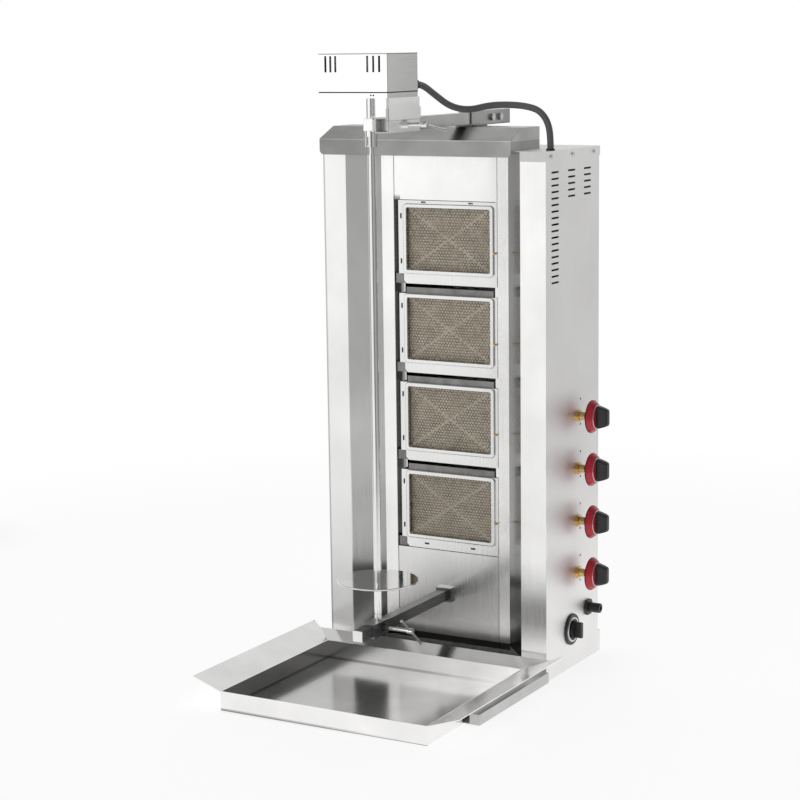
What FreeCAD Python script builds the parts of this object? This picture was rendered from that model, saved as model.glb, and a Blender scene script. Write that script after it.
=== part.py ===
"""Gas doner kebab grill with four burners, a motor head, a skewer and a drip tray.

Millimetres, +Z up. The cook stands on the -Y side and the gas taps are on the +X side.
The origin lies on the ground below the middle of the cabinet.
Each sub-part is written to parts/NAME.step.
"""
import FreeCAD, Part
import math
import os

os.makedirs("parts", exist_ok=True)
V = FreeCAD.Vector

# Cabinet
body_width = 427.0
body_depth = 212.0
lid_top = 900.0
sheet = 1.2
base_height = 37.5
base_depth = 221.5
base_wall = 1.5
flange_width = 13.0
slip = 0.3

# Front columns and the recess between them
left_face = 45.0
right_face = 47.0
left_slant = 41.0
right_slant = 48.0
recess_depth = 52.0
return_depth = 12.0

# Frame of the burner bay
left_strip = 24.3
right_strip = 20.4
left_step = 12.0
right_step = 4.0
left_ledge = 14.0
right_ledge = 7.0
bay_bottom = 30.0
bay_bar_height = 15.0
seam = 1.2

# Control box on the right
control_width = 58.5
lid_flange = 17.0
lid_screw_drop = 9.0
lid_screw_places = (18.0, 102.0, 188.0)

# Hood
hood_reach = 11.0
hood_lip_bottom = 890.0
hood_lip_top = 917.0
hood_roof = 937.0
hood_slope_end = 36.0
hood_depth = 98.0
hood_corner = 8.0

# Burners
burner_count = 4
burner_pitch = 156.6
window_top = 798.0
window_height = 109.0
bead_width = 6.5
bead_height = 3.6
bead_corner = 7.0
frame_gap = 7.5
left_flange = 10.0
right_flange = 5.4
first_top_flange = 12.0
bottom_flange = 23.5
bottom_corner = 5.0
flange_slot_length = 9.0
flange_slot_width = 3.0
screen_thickness = 0.8
screen_columns = 18
screen_rows = 16
screen_wire = 1.6
burner_box_depth = 38.0
burner_box_margin = 3.5
burner_box_wall = 1.5
burner_lip = 14.0
burner_lug_width = 4.5
tile_setback = 6.0
tile_thickness = 13.0
mixer_radius = 12.0
mixer_wall = 1.2
mixer_mouth_gap = 13.0
mixer_blind_end = -20.0
sensor_radius = 1.4
sensor_reach = 8.0
sensor_height = 35.0

# Gas taps, manifold and pipes
tap_y = 127.0
tap_top = 442.0
tap_pitch = 92.4
manifold_size = 17.0
manifold_gap = 4.5
manifold_over = 18.0
manifold_foot = 100.0
inlet_z = 118.0
inlet_neck_radius = 8.0
inlet_bore = 6.0
inlet_radius = 10.48
inlet_length = 18.0
inlet_shoulder_gap = 1.0
tap_body_length = 29.5
tap_body_width = 22.0
bonnet_radius = 7.0
bonnet_reach = 14.5
tap_nut_radius = 9.6
tap_nut_length = 4.0
stem_radius = 4.0
running_gap = 0.05
stem_depth = 33.0
push_travel = 3.0
push_spare = 0.5
pipe_radius = 2.5
pipe_bend = 7.0
pipe_pitch = 7.0
injector_radius = 4.0
injector_flange = 8.0
injector_thread = 6.0

# Gas knobs
knob_gap = 26.0
skirt_radius = 28.5
skirt_rim = 2.5
skirt_depth = 9.0
skirt_face_radius = 21.0
skirt_wall = 4.0
hub_radius = 8.0
hub_reach = 7.0
hub_bore = 8.0
grip_length = 20.0
grip_height = 39.0
grip_width = 18.0
grip_taper = 0.69

# Motor switch and mains gland on the control box
switch_y = 99.6
switch_z = 68.8
switch_radius = 27.5
switch_flange = 4.0
switch_body_radius = 18.0
switch_body_length = 28.0
switch_knob_radius = 15.0
switch_knob_base = 5.0
switch_bar_height = 12.0
switch_bar_width = 8.0
switch_shaft_radius = 3.0
gland_y = 166.0
gland_z = 93.0
gland_nut_radius = 14.0
gland_nut_length = 5.5
gland_body_radius = 8.6
gland_body_length = 21.0
gland_bore = 4.0

# Vents in the right side
vent_length = 28.5
vent_height = 3.2
vent_pitch = 10.78
vent_top = 864.5
vent_starts = (21.5, 86.0, 149.5)
vent_rows = (18, 5, 5)

# Support rails and drip tray
rail_size = 18.0
rail_inset = 4.5
rail_reach = 256.0
rail_wall = 1.5
runner_width = 15.0
runner_thickness = 1.2
tray_side_gap = 6.8
tray_front = 385.0
tray_rear_gap = 48.0
tray_height = 34.0
tray_sheet = 1.5
side_flap_out = 56.0
side_flap_up = 18.0
rear_flap_back = 31.0
rear_flap_up = 11.0
flap_rear_gap = 3.0

# Skewer line
skewer_x = -8.6
skewer_reach = 184.0
skewer_radius = 6.5
tip_pin_radius = 3.0
tip_pin_length = 2.4
tip_radius = 6.2
tip_length = 17.0
rod_top = 901.5
neck_radius = 4.0
neck_length = 31.0
drive_pin_radius = 1.4
drive_pin_height = 14.5
lift_travel = 12.0
disc_over_foot = 66.0
disc_radius = 68.0
disc_thickness = 3.0
disc_slot_width = 2.2
disc_slot_length = 34.0
disc_slot_angle = -62.0
stop_pin_radius = 1.5

# Lower arm
bar_size = 18.0
bar_height = 117.0
bar_front = 253.0
bar_collar = 30.0
bar_collar_length = 8.0
block_wall = 2.75
block_length = 47.0
block_front = 219.0
slide_gap = 0.25

# Upper rail
top_bar_size = 20.0
top_bar_x = 37.0
top_bar_z = 950.6
top_bar_front = 214.0
top_bar_rear = 190.0
holder_front = 54.0
holder_rear = 198.0
holder_wall = 2.0
holder_foot_side = 8.0
holder_bolts = (128.0, 158.0)
holder_foot_bolts = (66.0, 86.0)

# Motor head
head_left = -77.0
head_width = 126.0
head_front = 230.0
head_depth = 98.0
pan_bottom = 993.0
pan_depth = 8.0
pan_sheet = 1.5
pan_hole_side = 95.9
pan_hole_pitch = 4.6
pan_hole_radius = 1.5
cover_seam = 1.2
lip_height = 8.0
cover_height = 60.8
cover_sheet = 1.2
cover_slot_width = 3.8
cover_slot_height = 25.7
cover_slot_drop = 3.8
cover_slot_groups = (10.9, 88.2)
cover_slot_pitches = (9.2, 10.8)
sleeve_front = 229.0
sleeve_length = 102.0
sleeve_wall = 2.0
riser_plate = 3.0
strap_top = 977.0
strap_bottom = 957.0
strap_proud = 1.0
strap_over = 2.2
web_start = 165.0
seat_reach = 60.0

# Gear motor
gear_module = 1.0
pinion_teeth = 12
wheel_teeth = 44
gear_face = 8.0
case_height = 25.0
case_wall = 2.0
case_margin = 8.0
motor_radius = 19.0
motor_height = 38.0
motor_shaft_radius = 3.0
output_radius = 5.5

# Coupling between the gear motor and the skewer
coupling_tube_radius = 7.6
coupling_tube_length = 31.0
coupling_cube = 19.0
coupling_cube_height = 21.0
coupling_sleeve_radius = 10.0
coupling_sleeve_length = 25.0
coupling_pin_radius = 1.5
coupling_gap = 0.15

# Clamp screws with sliding cross bars
clamp_radius = 3.2
clamp_boss_radius = 7.0
clamp_boss_length = 7.5
clamp_head_radius = 5.0
clamp_head_length = 10.0
cross_bar_radius = 2.1
cross_bar_length = 84.0
cross_bar_ball = 2.9
upper_clamp_y = 175.0
upper_clamp_reach = 42.0
upper_bar_angle = -9.6
upper_bar_short_end = 12.0
lower_clamp_y = 185.0
lower_clamp_reach = 57.0
lower_bar_angle = -40.0
lower_bar_short_end = 37.0

# Motor cable
cable_radius = 5.5
cable_gland_radius = 8.6
cable_gland_length = 9.0
cable_gland_x = 40.0
cable_gland_z = 1012.0
grommet_radius = 7.4
grommet_height = 3.0
cable_end_x = 204.0
cable_end_y = 38.0

# Places worked out from the sizes above
front = -body_depth / 2
back = front + body_depth
right = body_width / 2
left = -right
wall_y = front + recess_depth
shell_top = lid_top - sheet
left_bay = left + left_face + left_slant
right_bay = right - right_face - right_slant
opening_left = left_bay + left_strip
opening_right = right_bay - right_strip
panel_left = opening_left + seam
panel_right = opening_right - seam
control_x = right - control_width
window_left = panel_left + frame_gap + left_flange + bead_width
window_right = panel_right - right_flange - bead_width
window_width = window_right - window_left
left_ledge_y = wall_y + left_step
right_ledge_y = wall_y + right_step
frame_back = wall_y + sheet
screen_y = frame_back + slip
box_y = screen_y + screen_thickness + slip
box_back = box_y + burner_box_depth
mixer_y = box_back + mixer_radius + 2 * slip
first_frame_top = window_top + first_top_flange
last_frame_bottom = window_top - (burner_count - 1) * burner_pitch - window_height - bottom_flange
skewer_y = front - skewer_reach
head_right = head_left + head_width
cover_bottom = pan_bottom + pan_depth + cover_seam
cover_top = cover_bottom + cover_height
head_y0 = front - head_front
head_y1 = head_y0 + head_depth
top_outer = top_bar_size / 2 + slide_gap + sleeve_wall
bar_outer = bar_size / 2 + slide_gap + block_wall
foot_z = bar_height + bar_outer
disc_height = foot_z + disc_over_foot
tap_places = [tap_top - i * tap_pitch for i in range(burner_count)]
rail_inside = right + rail_inset - rail_size
tray_width = 2 * (rail_inside - tray_side_gap)
manifold_x0 = control_x + manifold_gap
manifold_x1 = manifold_x0 + manifold_size
tap_x1 = manifold_x1 + tap_body_length
bonnet_end = right + bonnet_reach
knob_x = right + knob_gap
stem_inner = bonnet_end - stem_depth


def box(x0, x1, y0, y1, z0, z1):
    return Part.makeBox(x1 - x0, y1 - y0, z1 - z0, V(x0, y0, z0))


def rod(point, axis, radius, length):
    return Part.makeCylinder(radius, length, V(*point), V(*axis))


def hexagon_bar(point, radius, length):
    """Hexagonal bar along +X; radius is half of its size across the flats."""
    x, y, z = point
    corner = radius / math.cos(math.pi / 6)
    ring = []
    for i in range(7):
        turn = math.pi / 3 * i
        ring.append(V(x, y + corner * math.cos(turn), z + corner * math.sin(turn)))
    return Part.Face(Part.makePolygon(ring)).extrude(V(length, 0, 0))


def prism(points, along, start, end):
    """Straight solid over a flat outline, along one of the three axes."""
    place = {
        "x": lambda a, b: V(start, a, b),
        "y": lambda a, b: V(a, start, b),
        "z": lambda a, b: V(a, b, start),
    }[along]
    reach = {"x": V(end - start, 0, 0), "y": V(0, end - start, 0), "z": V(0, 0, end - start)}[along]
    corners = [place(a, b) for a, b in points]
    return Part.Face(Part.makePolygon(corners + corners[:1])).extrude(reach)


def folded(points, thickness):
    """Outline of bent sheet: points run along one face, the metal lies to their left."""
    normals = []
    for (ax, ay), (bx, by) in zip(points, points[1:]):
        length = math.hypot(bx - ax, by - ay)
        normals.append((-(by - ay) / length, (bx - ax) / length))
    other = []
    for i, (px, py) in enumerate(points):
        first = normals[max(i - 1, 0)]
        second = normals[min(i, len(normals) - 1)]
        scale = thickness / (1 + first[0] * second[0] + first[1] * second[1])
        other.append((px + scale * (first[0] + second[0]), py + scale * (first[1] + second[1])))
    return points + other[::-1]


def slot(x0, x1, y, z, length, width):
    """Slot with round ends, cut along X; its length lies along Y from y."""
    half = width / 2
    middle = box(x0, x1, y + half, y + length - half, z - half, z + half)
    ends = [rod((x0, y + half, z), (1, 0, 0), half, x1 - x0),
            rod((x0, y + length - half, z), (1, 0, 0), half, x1 - x0)]
    return middle.fuse(ends)


def rounded_box(x0, x1, y0, y1, z0, z1, radius):
    """Box whose four edges along Y are round."""
    solid = box(x0, x1, y0, y1, z0, z1)
    edges = [e for e in solid.Edges if abs(e.tangentAt(e.FirstParameter).y) > 0.9]
    return solid.makeFillet(radius, edges)


def route(points, radii):
    """Straight runs joined by arcs that touch both runs."""
    edges = []
    here = V(*points[0])
    for i, radius in enumerate(radii, 1):
        corner = V(*points[i])
        before = (corner - V(*points[i - 1])).normalize()
        after = (V(*points[i + 1]) - corner).normalize()
        turn = before.getAngle(after)
        reach = radius * math.tan(turn / 2)
        start = corner - before * reach
        end = corner + after * reach
        inward = (after - before).normalize()
        middle = corner + inward * (radius / math.cos(turn / 2) - radius)
        edges.append(Part.LineSegment(here, start).toShape())
        edges.append(Part.Arc(start, middle, end).toShape())
        here = end
    edges.append(Part.LineSegment(here, V(*points[-1])).toShape())
    return Part.Wire(edges)


def swept(path, radius):
    """Round bar along a path of runs and arcs."""
    first = path.OrderedEdges[0]
    start = first.valueAt(first.FirstParameter)
    heading = first.tangentAt(first.FirstParameter)
    ring = Part.Wire([Part.makeCircle(radius, start, heading)])
    return path.makePipeShell([ring], True, False)


def joined(shapes):
    solid = shapes[0].fuse(shapes[1:])
    return solid.removeSplitter()


def save(name, shape):
    bodies = shape.Solids
    if not bodies or not shape.isValid():
        raise ValueError(name + " is not a sound solid")
    shape.exportStep("parts/" + name + ".step")
    print(name, len(bodies), round(shape.Volume / 1000, 2))


# Base and rails

def make_base():
    outer = box(left, right, front, front + base_depth, 0, base_height)
    inner = box(left + base_wall, right - base_wall, front + base_wall,
                front + base_depth - base_wall, base_wall, base_height)
    return outer.cut(inner)


def make_support_rail(side):
    """Square tube that stops the grill from tipping, with a runner for the tray."""
    x1 = right + rail_inset
    x0 = x1 - rail_size
    y0 = front - rail_reach
    tube = box(x0, x1, y0, front, 0, rail_size)
    hollow = box(x0 + rail_wall, x1 - rail_wall, y0 + rail_wall, front,
                 rail_wall, rail_size - rail_wall)
    runner = box(x0 - runner_width, x0, y0, front, 0, runner_thickness)
    rail = joined([tube.cut(hollow), runner])
    if side < 0:
        rail = rail.mirror(V(0, 0, 0), V(1, 0, 0))
    return rail


# Cabinet sheets

def make_left_column():
    line = [(left, front), (left + left_face, front), (left_bay, wall_y),
            (left_bay, wall_y + return_depth)]
    return prism(folded(line, sheet), "z", base_height, shell_top)


def make_right_column():
    line = [(right, front), (right - right_face, front), (right_bay, wall_y),
            (right_bay, wall_y + return_depth)]
    return prism(folded(line, -sheet), "z", base_height, shell_top)


def side_sheet(x, inward):
    line = [(x + inward * flange_width, front + sheet), (x, front + sheet),
            (x, back - sheet), (x + inward * flange_width, back - sheet)]
    return prism(folded(line, -inward * sheet), "z", base_height, shell_top)


def make_right_side():
    panel = side_sheet(right, -1)
    x0 = right - 3 * sheet
    x1 = right + sheet
    holes = []
    for start, rows in zip(vent_starts, vent_rows):
        for i in range(rows):
            holes.append(slot(x0, x1, front + start, vent_top - i * vent_pitch,
                              vent_length, vent_height))
    for z in tap_places:
        holes.append(rod((x0, front + tap_y, z), (1, 0, 0), bonnet_radius + slip, x1 - x0))
        for rise in (28.0, -16.0):
            holes.append(rod((x0, front + tap_y + 10, z + rise), (1, 0, 0), 2.1, x1 - x0))
    holes.append(rod((x0, front + switch_y, switch_z), (1, 0, 0),
                     switch_body_radius + slip, x1 - x0))
    holes.append(rod((x0, front + gland_y, gland_z), (1, 0, 0), gland_body_radius + slip, x1 - x0))
    for y in lid_screw_places:
        holes.append(rod((x0, front + y, lid_top - lid_screw_drop), (1, 0, 0), 2.0, x1 - x0))
    return panel.cut(Part.makeCompound(holes))


def make_back():
    """Rear sheet, folded forward over the top behind the hood."""
    upright = box(left, right, back - sheet, back, base_height, shell_top)
    top = box(left, control_x, front + hood_depth, back, shell_top, lid_top)
    hole = rod((manifold_x0 + manifold_size / 2, back - 2 * sheet, inlet_z), (0, 1, 0),
               inlet_neck_radius + slip, 3 * sheet)
    return joined([upright, top]).cut(hole)


def make_control_wall():
    """Sheet between the burners and the control box."""
    slope = recess_depth / right_slant
    y0 = front + (right - right_face - control_x + sheet) * slope + 3 * sheet
    sheet_line = [(control_x, y0), (control_x, back - sheet),
                  (control_x - flange_width, back - sheet)]
    wall = prism(folded(sheet_line, sheet), "z", base_wall, shell_top)
    holes = []
    for i in range(burner_count):
        holes.append(rod((control_x - 2 * sheet, mixer_y, burner_middle(i)), (1, 0, 0),
                         injector_thread + slip, 3 * sheet))
    return wall.cut(Part.makeCompound(holes))


def make_lid():
    outer = box(control_x, right + sheet, front - sheet, back + sheet,
                lid_top - lid_flange, lid_top)
    inner = box(control_x, right, front, back, lid_top - lid_flange, shell_top)
    column = box(control_x, right - right_face, front - sheet, front,
                 lid_top - lid_flange, shell_top)
    lid = outer.cut([inner, column])
    holes = [rod((cable_end_x, front + cable_end_y, shell_top - sheet), (0, 0, 1),
                 cable_radius + slip, 3 * sheet)]
    for y in lid_screw_places:
        holes.append(rod((right - sheet, front + y, lid_top - lid_screw_drop), (1, 0, 0),
                         2.0, 3 * sheet))
    return lid.cut(Part.makeCompound(holes))


def make_hood():
    """Sloped hood over the burner recess, with a lip that has round lower corners."""
    y0 = front - hood_reach
    line = [(y0, hood_lip_bottom), (y0, hood_lip_top), (front + hood_slope_end, hood_roof),
            (front + hood_depth, hood_roof), (front + hood_depth, shell_top)]
    roof = prism(folded(line, -sheet), "x", left, control_x)
    for x in (left, control_x - hood_corner):
        corner = box(x, x + hood_corner, y0 - 1, y0 + sheet + 1, hood_lip_bottom,
                     hood_lip_bottom + hood_corner)
        middle = x + hood_corner if x == left else x
        keep = rod((middle, y0 - 2, hood_lip_bottom + hood_corner), (0, 1, 0),
                   hood_corner, sheet + 4)
        roof = roof.cut(corner.cut(keep))
    cheek = [(y0 + sheet, hood_lip_top - sheet), (front + hood_slope_end, hood_roof - sheet),
             (front + hood_depth - sheet, hood_roof - sheet),
             (front + hood_depth - sheet, shell_top), (y0 + sheet, shell_top)]
    cheeks = [prism(cheek, "x", left, left + sheet),
              prism(cheek, "x", control_x - sheet, control_x)]
    hood = joined([roof] + cheeks)
    holes = []
    for y in holder_foot_bolts:
        holes.append(rod((top_bar_x, front + y, hood_roof - 2 * sheet), (0, 0, 1), 3.2, 4 * sheet))
    return hood.cut(Part.makeCompound(holes))


# Burner bay

def burner_top(i):
    return window_top - i * burner_pitch


def burner_middle(i):
    return burner_top(i) - window_height / 2


def sensor_place(i):
    x = panel_right - sheet - sensor_radius - 2 * slip
    return x, burner_top(i) - window_height + sensor_height


def make_bay_frame():
    """Two upright strips with ledges behind them, joined at the top and bottom."""
    left_end = opening_left + left_ledge
    right_end = opening_right - right_ledge
    left_line = [(left_bay, wall_y), (opening_left, wall_y), (opening_left, left_ledge_y),
                 (left_end, left_ledge_y)]
    right_line = [(right_bay, wall_y), (opening_right, wall_y), (opening_right, right_ledge_y),
                  (right_end, right_ledge_y)]
    bar_line = [(left_end - sheet, left_ledge_y), (right_end, left_ledge_y),
                (right_end, right_ledge_y)]
    pieces = [prism(folded(left_line, sheet), "z", bay_bottom, shell_top),
              prism(folded(right_line, -sheet), "z", bay_bottom, shell_top)]
    for z in (bay_bottom, shell_top - bay_bar_height):
        pieces.append(prism(folded(bar_line, sheet), "z", z, z + bay_bar_height))
    frame = joined(pieces)
    holes = []
    for i in range(burner_count):
        x, z = sensor_place(i)
        holes.append(rod((x, right_ledge_y - 1, z), (0, 1, 0), sensor_radius + slip, sheet + 2))
    return frame.cut(Part.makeCompound(holes))


def front_sheet(x0, z0, z1):
    """Front sheet between the strips, with both sides folded back to the ledges."""
    line = [(x0, left_ledge_y), (x0, wall_y), (panel_right, wall_y), (panel_right, right_ledge_y)]
    return prism(folded(line, sheet), "z", z0, z1)


def make_lower_panel():
    panel = front_sheet(panel_left, bay_bottom, last_frame_bottom - seam)
    half = bar_size / 2 + slip
    hole = box(skewer_x - half, skewer_x + half, wall_y - 1, wall_y + sheet + 1,
               bar_height - half, bar_height + half)
    return panel.cut(hole)


def make_burner_frame(i):
    """Front frame with a raised bead round the window, a left ear with small slots,
    and a lower flange that starts at the bead."""
    top = burner_top(i)
    bottom = top - window_height
    over = first_top_flange if i == 0 else bead_width
    x0 = window_left - bead_width - left_flange
    plate = front_sheet(x0, bottom - bead_width, top + over)
    bead_x = window_left - bead_width
    low = bottom - bottom_flange
    flange = prism([(bead_x, bottom), (bead_x, low + bottom_corner), (bead_x + bottom_corner, low),
                    (panel_right, low), (panel_right, bottom)], "y", wall_y, wall_y + sheet)
    y0 = wall_y - bead_height
    bead = rounded_box(bead_x, window_right + bead_width, y0, wall_y + sheet,
                       bottom - bead_width, top + bead_width, bead_corner)
    front_edges = [e for e in bead.Edges if all(abs(v.Y - y0) < 0.01 for v in e.Vertexes)]
    bead = bead.makeFillet(bead_width * 0.3, front_edges)
    window = rounded_box(window_left, window_right, y0 - 1, wall_y + sheet + 1,
                         bottom, top, bead_corner - bead_width + 2.5)
    slots = []
    x = bead_x - left_flange / 2
    half = flange_slot_width / 2
    for z in (top - window_height * 0.14, bottom + window_height * 0.14):
        slots.append(box(x - half, x + half, wall_y - 1, wall_y + sheet + 1,
                         z - flange_slot_length / 2, z + flange_slot_length / 2))
    rows = []
    if i == 0:
        rows.append(top + (bead_width + first_top_flange) / 2)
    if i == burner_count - 1:
        rows.append(bottom - (bead_width + bottom_flange) / 2)
    for z in rows:
        for share in (0.26, 0.74):
            x = x0 + share * (panel_right - x0)
            slots.append(box(x - flange_slot_length / 2, x + flange_slot_length / 2,
                             wall_y - 1, wall_y + sheet + 1, z - half, z + half))
    sensor_x, sensor_z = sensor_place(i)
    slots.append(rod((sensor_x, wall_y - 1, sensor_z), (0, 1, 0), sensor_radius + slip, sheet + 2))
    frame = joined([plate, flange, bead]).cut(window)
    return frame.cut(Part.makeCompound(slots))


def make_screen(i):
    """Flat net with diamond gaps, one face with holes drawn out to its thickness."""
    edge = 2.0
    x0 = window_left - edge
    x1 = window_right + edge
    z1 = burner_top(i) + edge
    z0 = z1 - window_height - 2 * edge
    pitch_x = window_width / screen_columns
    pitch_z = window_height / screen_rows
    rim = Part.makePolygon([V(x0, screen_y, z0), V(x1, screen_y, z0), V(x1, screen_y, z1),
                            V(x0, screen_y, z1), V(x0, screen_y, z0)])
    wires = [rim]
    wide = (pitch_x - screen_wire) / 2
    tall = pitch_z - screen_wire
    for row in range(screen_rows - 1):
        shift = pitch_x / 2 if row % 2 else 0
        z = z0 + edge + (row + 1) * pitch_z
        for column in range(screen_columns - (row % 2)):
            x = x0 + edge + (column + 0.5) * pitch_x + shift
            wires.append(Part.makePolygon([V(x - wide, screen_y, z), V(x, screen_y, z + tall),
                                           V(x + wide, screen_y, z), V(x, screen_y, z - tall),
                                           V(x - wide, screen_y, z)]))
    face = Part.Face(wires)
    return face.extrude(V(0, screen_thickness, 0))


def burner_box_limits(i):
    return (window_left - burner_box_margin, window_right + burner_box_margin,
            burner_top(i) - window_height - burner_box_margin,
            burner_top(i) + burner_box_margin)


def burner_body(i):
    """Open pressed box behind the screen, with its mixer tube to the control box.

    A lip stands above its front edge and a lug reaches down to the left ledge.
    """
    x0, x1, z0, z1 = burner_box_limits(i)
    z = burner_middle(i)
    wall = burner_box_wall
    mouth = control_x - sheet - mixer_mouth_gap
    shell = box(x0, x1, box_y, box_back, z0, z1)
    boss = box(mixer_blind_end, -mixer_blind_end, box_back - wall, mixer_y, z - 10, z + 10)
    tube = rod((mixer_blind_end, mixer_y, z), (1, 0, 0), mixer_radius, mouth - mixer_blind_end)
    lip = box(x0, x1, box_y, box_y + wall, z1 - wall, z1 + burner_lip)
    bottom = burner_top(i) - window_height
    lug = box(panel_left, x0, box_y, box_y + wall, bottom - bottom_flange,
              bottom - bead_width - slip)
    arm = box(x0 - burner_lug_width, x0 + wall, box_y, box_y + wall, bottom - bottom_flange,
              z0 + 2 * burner_lug_width)
    body = joined([shell, boss, tube, lip, lug, arm])
    inside = box(x0 + wall, x1 - wall, box_y, box_back - wall, z0 + wall, z1 - wall)
    port = box(mixer_blind_end + wall, -mixer_blind_end - wall, box_back - 2 * wall, mixer_y,
               z - 8, z + 8)
    bore = rod((mixer_blind_end + wall, mixer_y, z), (1, 0, 0), mixer_radius - mixer_wall,
               mouth - mixer_blind_end)
    return body.cut([inside, port, bore])


def make_tiles():
    """Two ceramic plates in each burner."""
    plates = []
    for i in range(burner_count):
        x0, x1, z0, z1 = burner_box_limits(i)
        inset = burner_box_wall + slip
        middle = (x0 + x1) / 2
        y0 = box_y + tile_setback
        for a, b in ((x0 + inset, middle - slip / 2), (middle + slip / 2, x1 - inset)):
            plates.append(box(a, b, y0, y0 + tile_thickness, z0 + inset, z1 - inset))
    return Part.makeCompound(plates)


def make_sensors():
    """One flame sensor at the right edge of each window, held by its collar."""
    sensors = []
    for i in range(burner_count):
        x, z = sensor_place(i)
        pin = rod((x, wall_y - sensor_reach, z), (0, 1, 0), sensor_radius, sensor_reach + 20)
        collar = rod((x, wall_y - 2.6, z), (0, 1, 0), sensor_radius + 0.7, 2.6)
        sensors.append(joined([pin, collar]))
    return Part.makeCompound(sensors)


# Gas line

def make_manifold():
    """Square gas pipe behind the taps, with its threaded inlet through the back."""
    y = front + tap_y
    half = manifold_size / 2
    x = manifold_x0 + half
    z1 = tap_top + manifold_over
    outer = box(manifold_x0, manifold_x1, y - half, y + half, manifold_foot, z1)
    inner = box(manifold_x0 + 2, manifold_x1 - 2, y - half + 2, y + half - 2,
                manifold_foot + 2, z1 - 2)
    shoulder = back + inlet_shoulder_gap
    neck = rod((x, y + half - 1, inlet_z), (0, 1, 0), inlet_neck_radius, shoulder - y - half + 1)
    collar = rod((x, back - sheet - 5, inlet_z), (0, 1, 0), inlet_radius + 2, 5)
    stub = rod((x, shoulder, inlet_z), (0, 1, 0), inlet_radius, inlet_length)
    bore = rod((x, y, inlet_z), (0, 1, 0), inlet_bore, shoulder + inlet_length - y)
    return joined([outer, neck, collar, stub]).cut([inner, bore])


def make_taps():
    """Four gas taps: body on the manifold, nut and bonnet through the side."""
    taps = []
    y = front + tap_y
    half = tap_body_width / 2
    for z in tap_places:
        body = box(manifold_x1, tap_x1, y - half, y + half, z - half, z + half)
        bonnet = rod((tap_x1 - 1, y, z), (1, 0, 0), bonnet_radius, bonnet_end - tap_x1 + 1)
        nut = hexagon_bar((right, y, z), tap_nut_radius, tap_nut_length)
        bore = rod((stem_inner - push_travel - push_spare, y, z), (1, 0, 0),
                   stem_radius + running_gap, stem_depth + push_travel + push_spare + 1)
        taps.append(joined([body, bonnet, nut]).cut(bore))
    return Part.makeCompound(taps)


def make_pipes():
    """A pipe with its injector from each tap to the mixer tube of its burner."""
    pipes = []
    for i, z_tap in enumerate(tap_places):
        z = burner_middle(i)
        x_down = manifold_x1 + 3 + (burner_count - 1 - i) * pipe_pitch
        start = control_x - sheet - mixer_mouth_gap - 7
        flange = control_x - sheet - 3.5
        end = control_x + 8
        nozzle = rod((start, mixer_y, z), (1, 0, 0), injector_radius, flange - start + 1)
        nut = hexagon_bar((flange, mixer_y, z), injector_flange, 3.5)
        thread = rod((flange + 1, mixer_y, z), (1, 0, 0), injector_thread, end - flange - 1)
        points = [(end - 1, mixer_y, z), (x_down, mixer_y, z), (x_down, mixer_y, z_tap),
                  (x_down, front + tap_y - tap_body_width / 2, z_tap)]
        pipe = swept(route(points, [pipe_bend] * 2), pipe_radius)
        pipes.append(joined([nozzle, nut, thread, pipe]))
    return Part.makeCompound(pipes)


def make_stem(z):
    length = knob_x + hub_bore - push_spare - stem_inner
    return rod((stem_inner, front + tap_y, z), (1, 0, 0), stem_radius, length)


def make_knob(z):
    """Knob with a wide cone skirt, a hub on the stem and a tapered grip bar."""
    y = front + tap_y
    bore = stem_radius + running_gap
    face = skirt_rim + skirt_depth
    profile = [(-hub_reach, bore), (-hub_reach, hub_radius), (skirt_wall + 2, hub_radius),
               (skirt_wall + 2, skirt_radius - skirt_wall), (0, skirt_radius - skirt_wall / 2),
               (0, skirt_radius), (skirt_rim, skirt_radius), (face, skirt_face_radius),
               (face, 0), (hub_bore, 0), (hub_bore, bore)]
    corners = [V(knob_x + a, y, z + r) for a, r in profile]
    skirt = Part.Face(Part.makePolygon(corners + corners[:1])).revolve(
        V(knob_x, y, z), V(1, 0, 0), 360)
    rings = []
    for x, share in ((knob_x + face - 0.5, 1.0), (knob_x + face + grip_length, grip_taper)):
        wide = grip_width / 2 * share
        tall = grip_height / 2 * share
        cut = 4.0 * share
        ring = [(wide, tall - cut), (wide - cut, tall), (cut - wide, tall), (-wide, tall - cut),
                (-wide, cut - tall), (cut - wide, -tall), (wide - cut, -tall), (wide, cut - tall)]
        corners = [V(x, y + a, z + b) for a, b in ring]
        rings.append(Part.makePolygon(corners + corners[:1]))
    grip = Part.makeLoft(rings, True, True)
    return joined([skirt, grip])


# Switch and glands

def make_switch():
    """Rotary switch: round flange outside and its contact block behind the sheet."""
    y = front + switch_y
    flange = rod((right, y, switch_z), (1, 0, 0), switch_radius, switch_flange)
    edges = [e for e in flange.Edges if all(abs(v.X - right - switch_flange) < 0.01
                                            for v in e.Vertexes)]
    flange = flange.makeFillet(1.5, edges[:1])
    block = rod((right - switch_body_length, y, switch_z), (1, 0, 0), switch_body_radius,
                switch_body_length + 1)
    ring = rod((right + switch_flange - 0.5, y, switch_z), (1, 0, 0), switch_radius * 0.8, 1.5)
    dish = rod((right + switch_flange, y, switch_z), (1, 0, 0), switch_radius * 0.66, 3)
    bore = rod((right - switch_body_length * 0.6, y, switch_z), (1, 0, 0),
               switch_shaft_radius + running_gap, switch_body_length)
    return joined([flange, block, ring]).cut([dish, bore])


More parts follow.
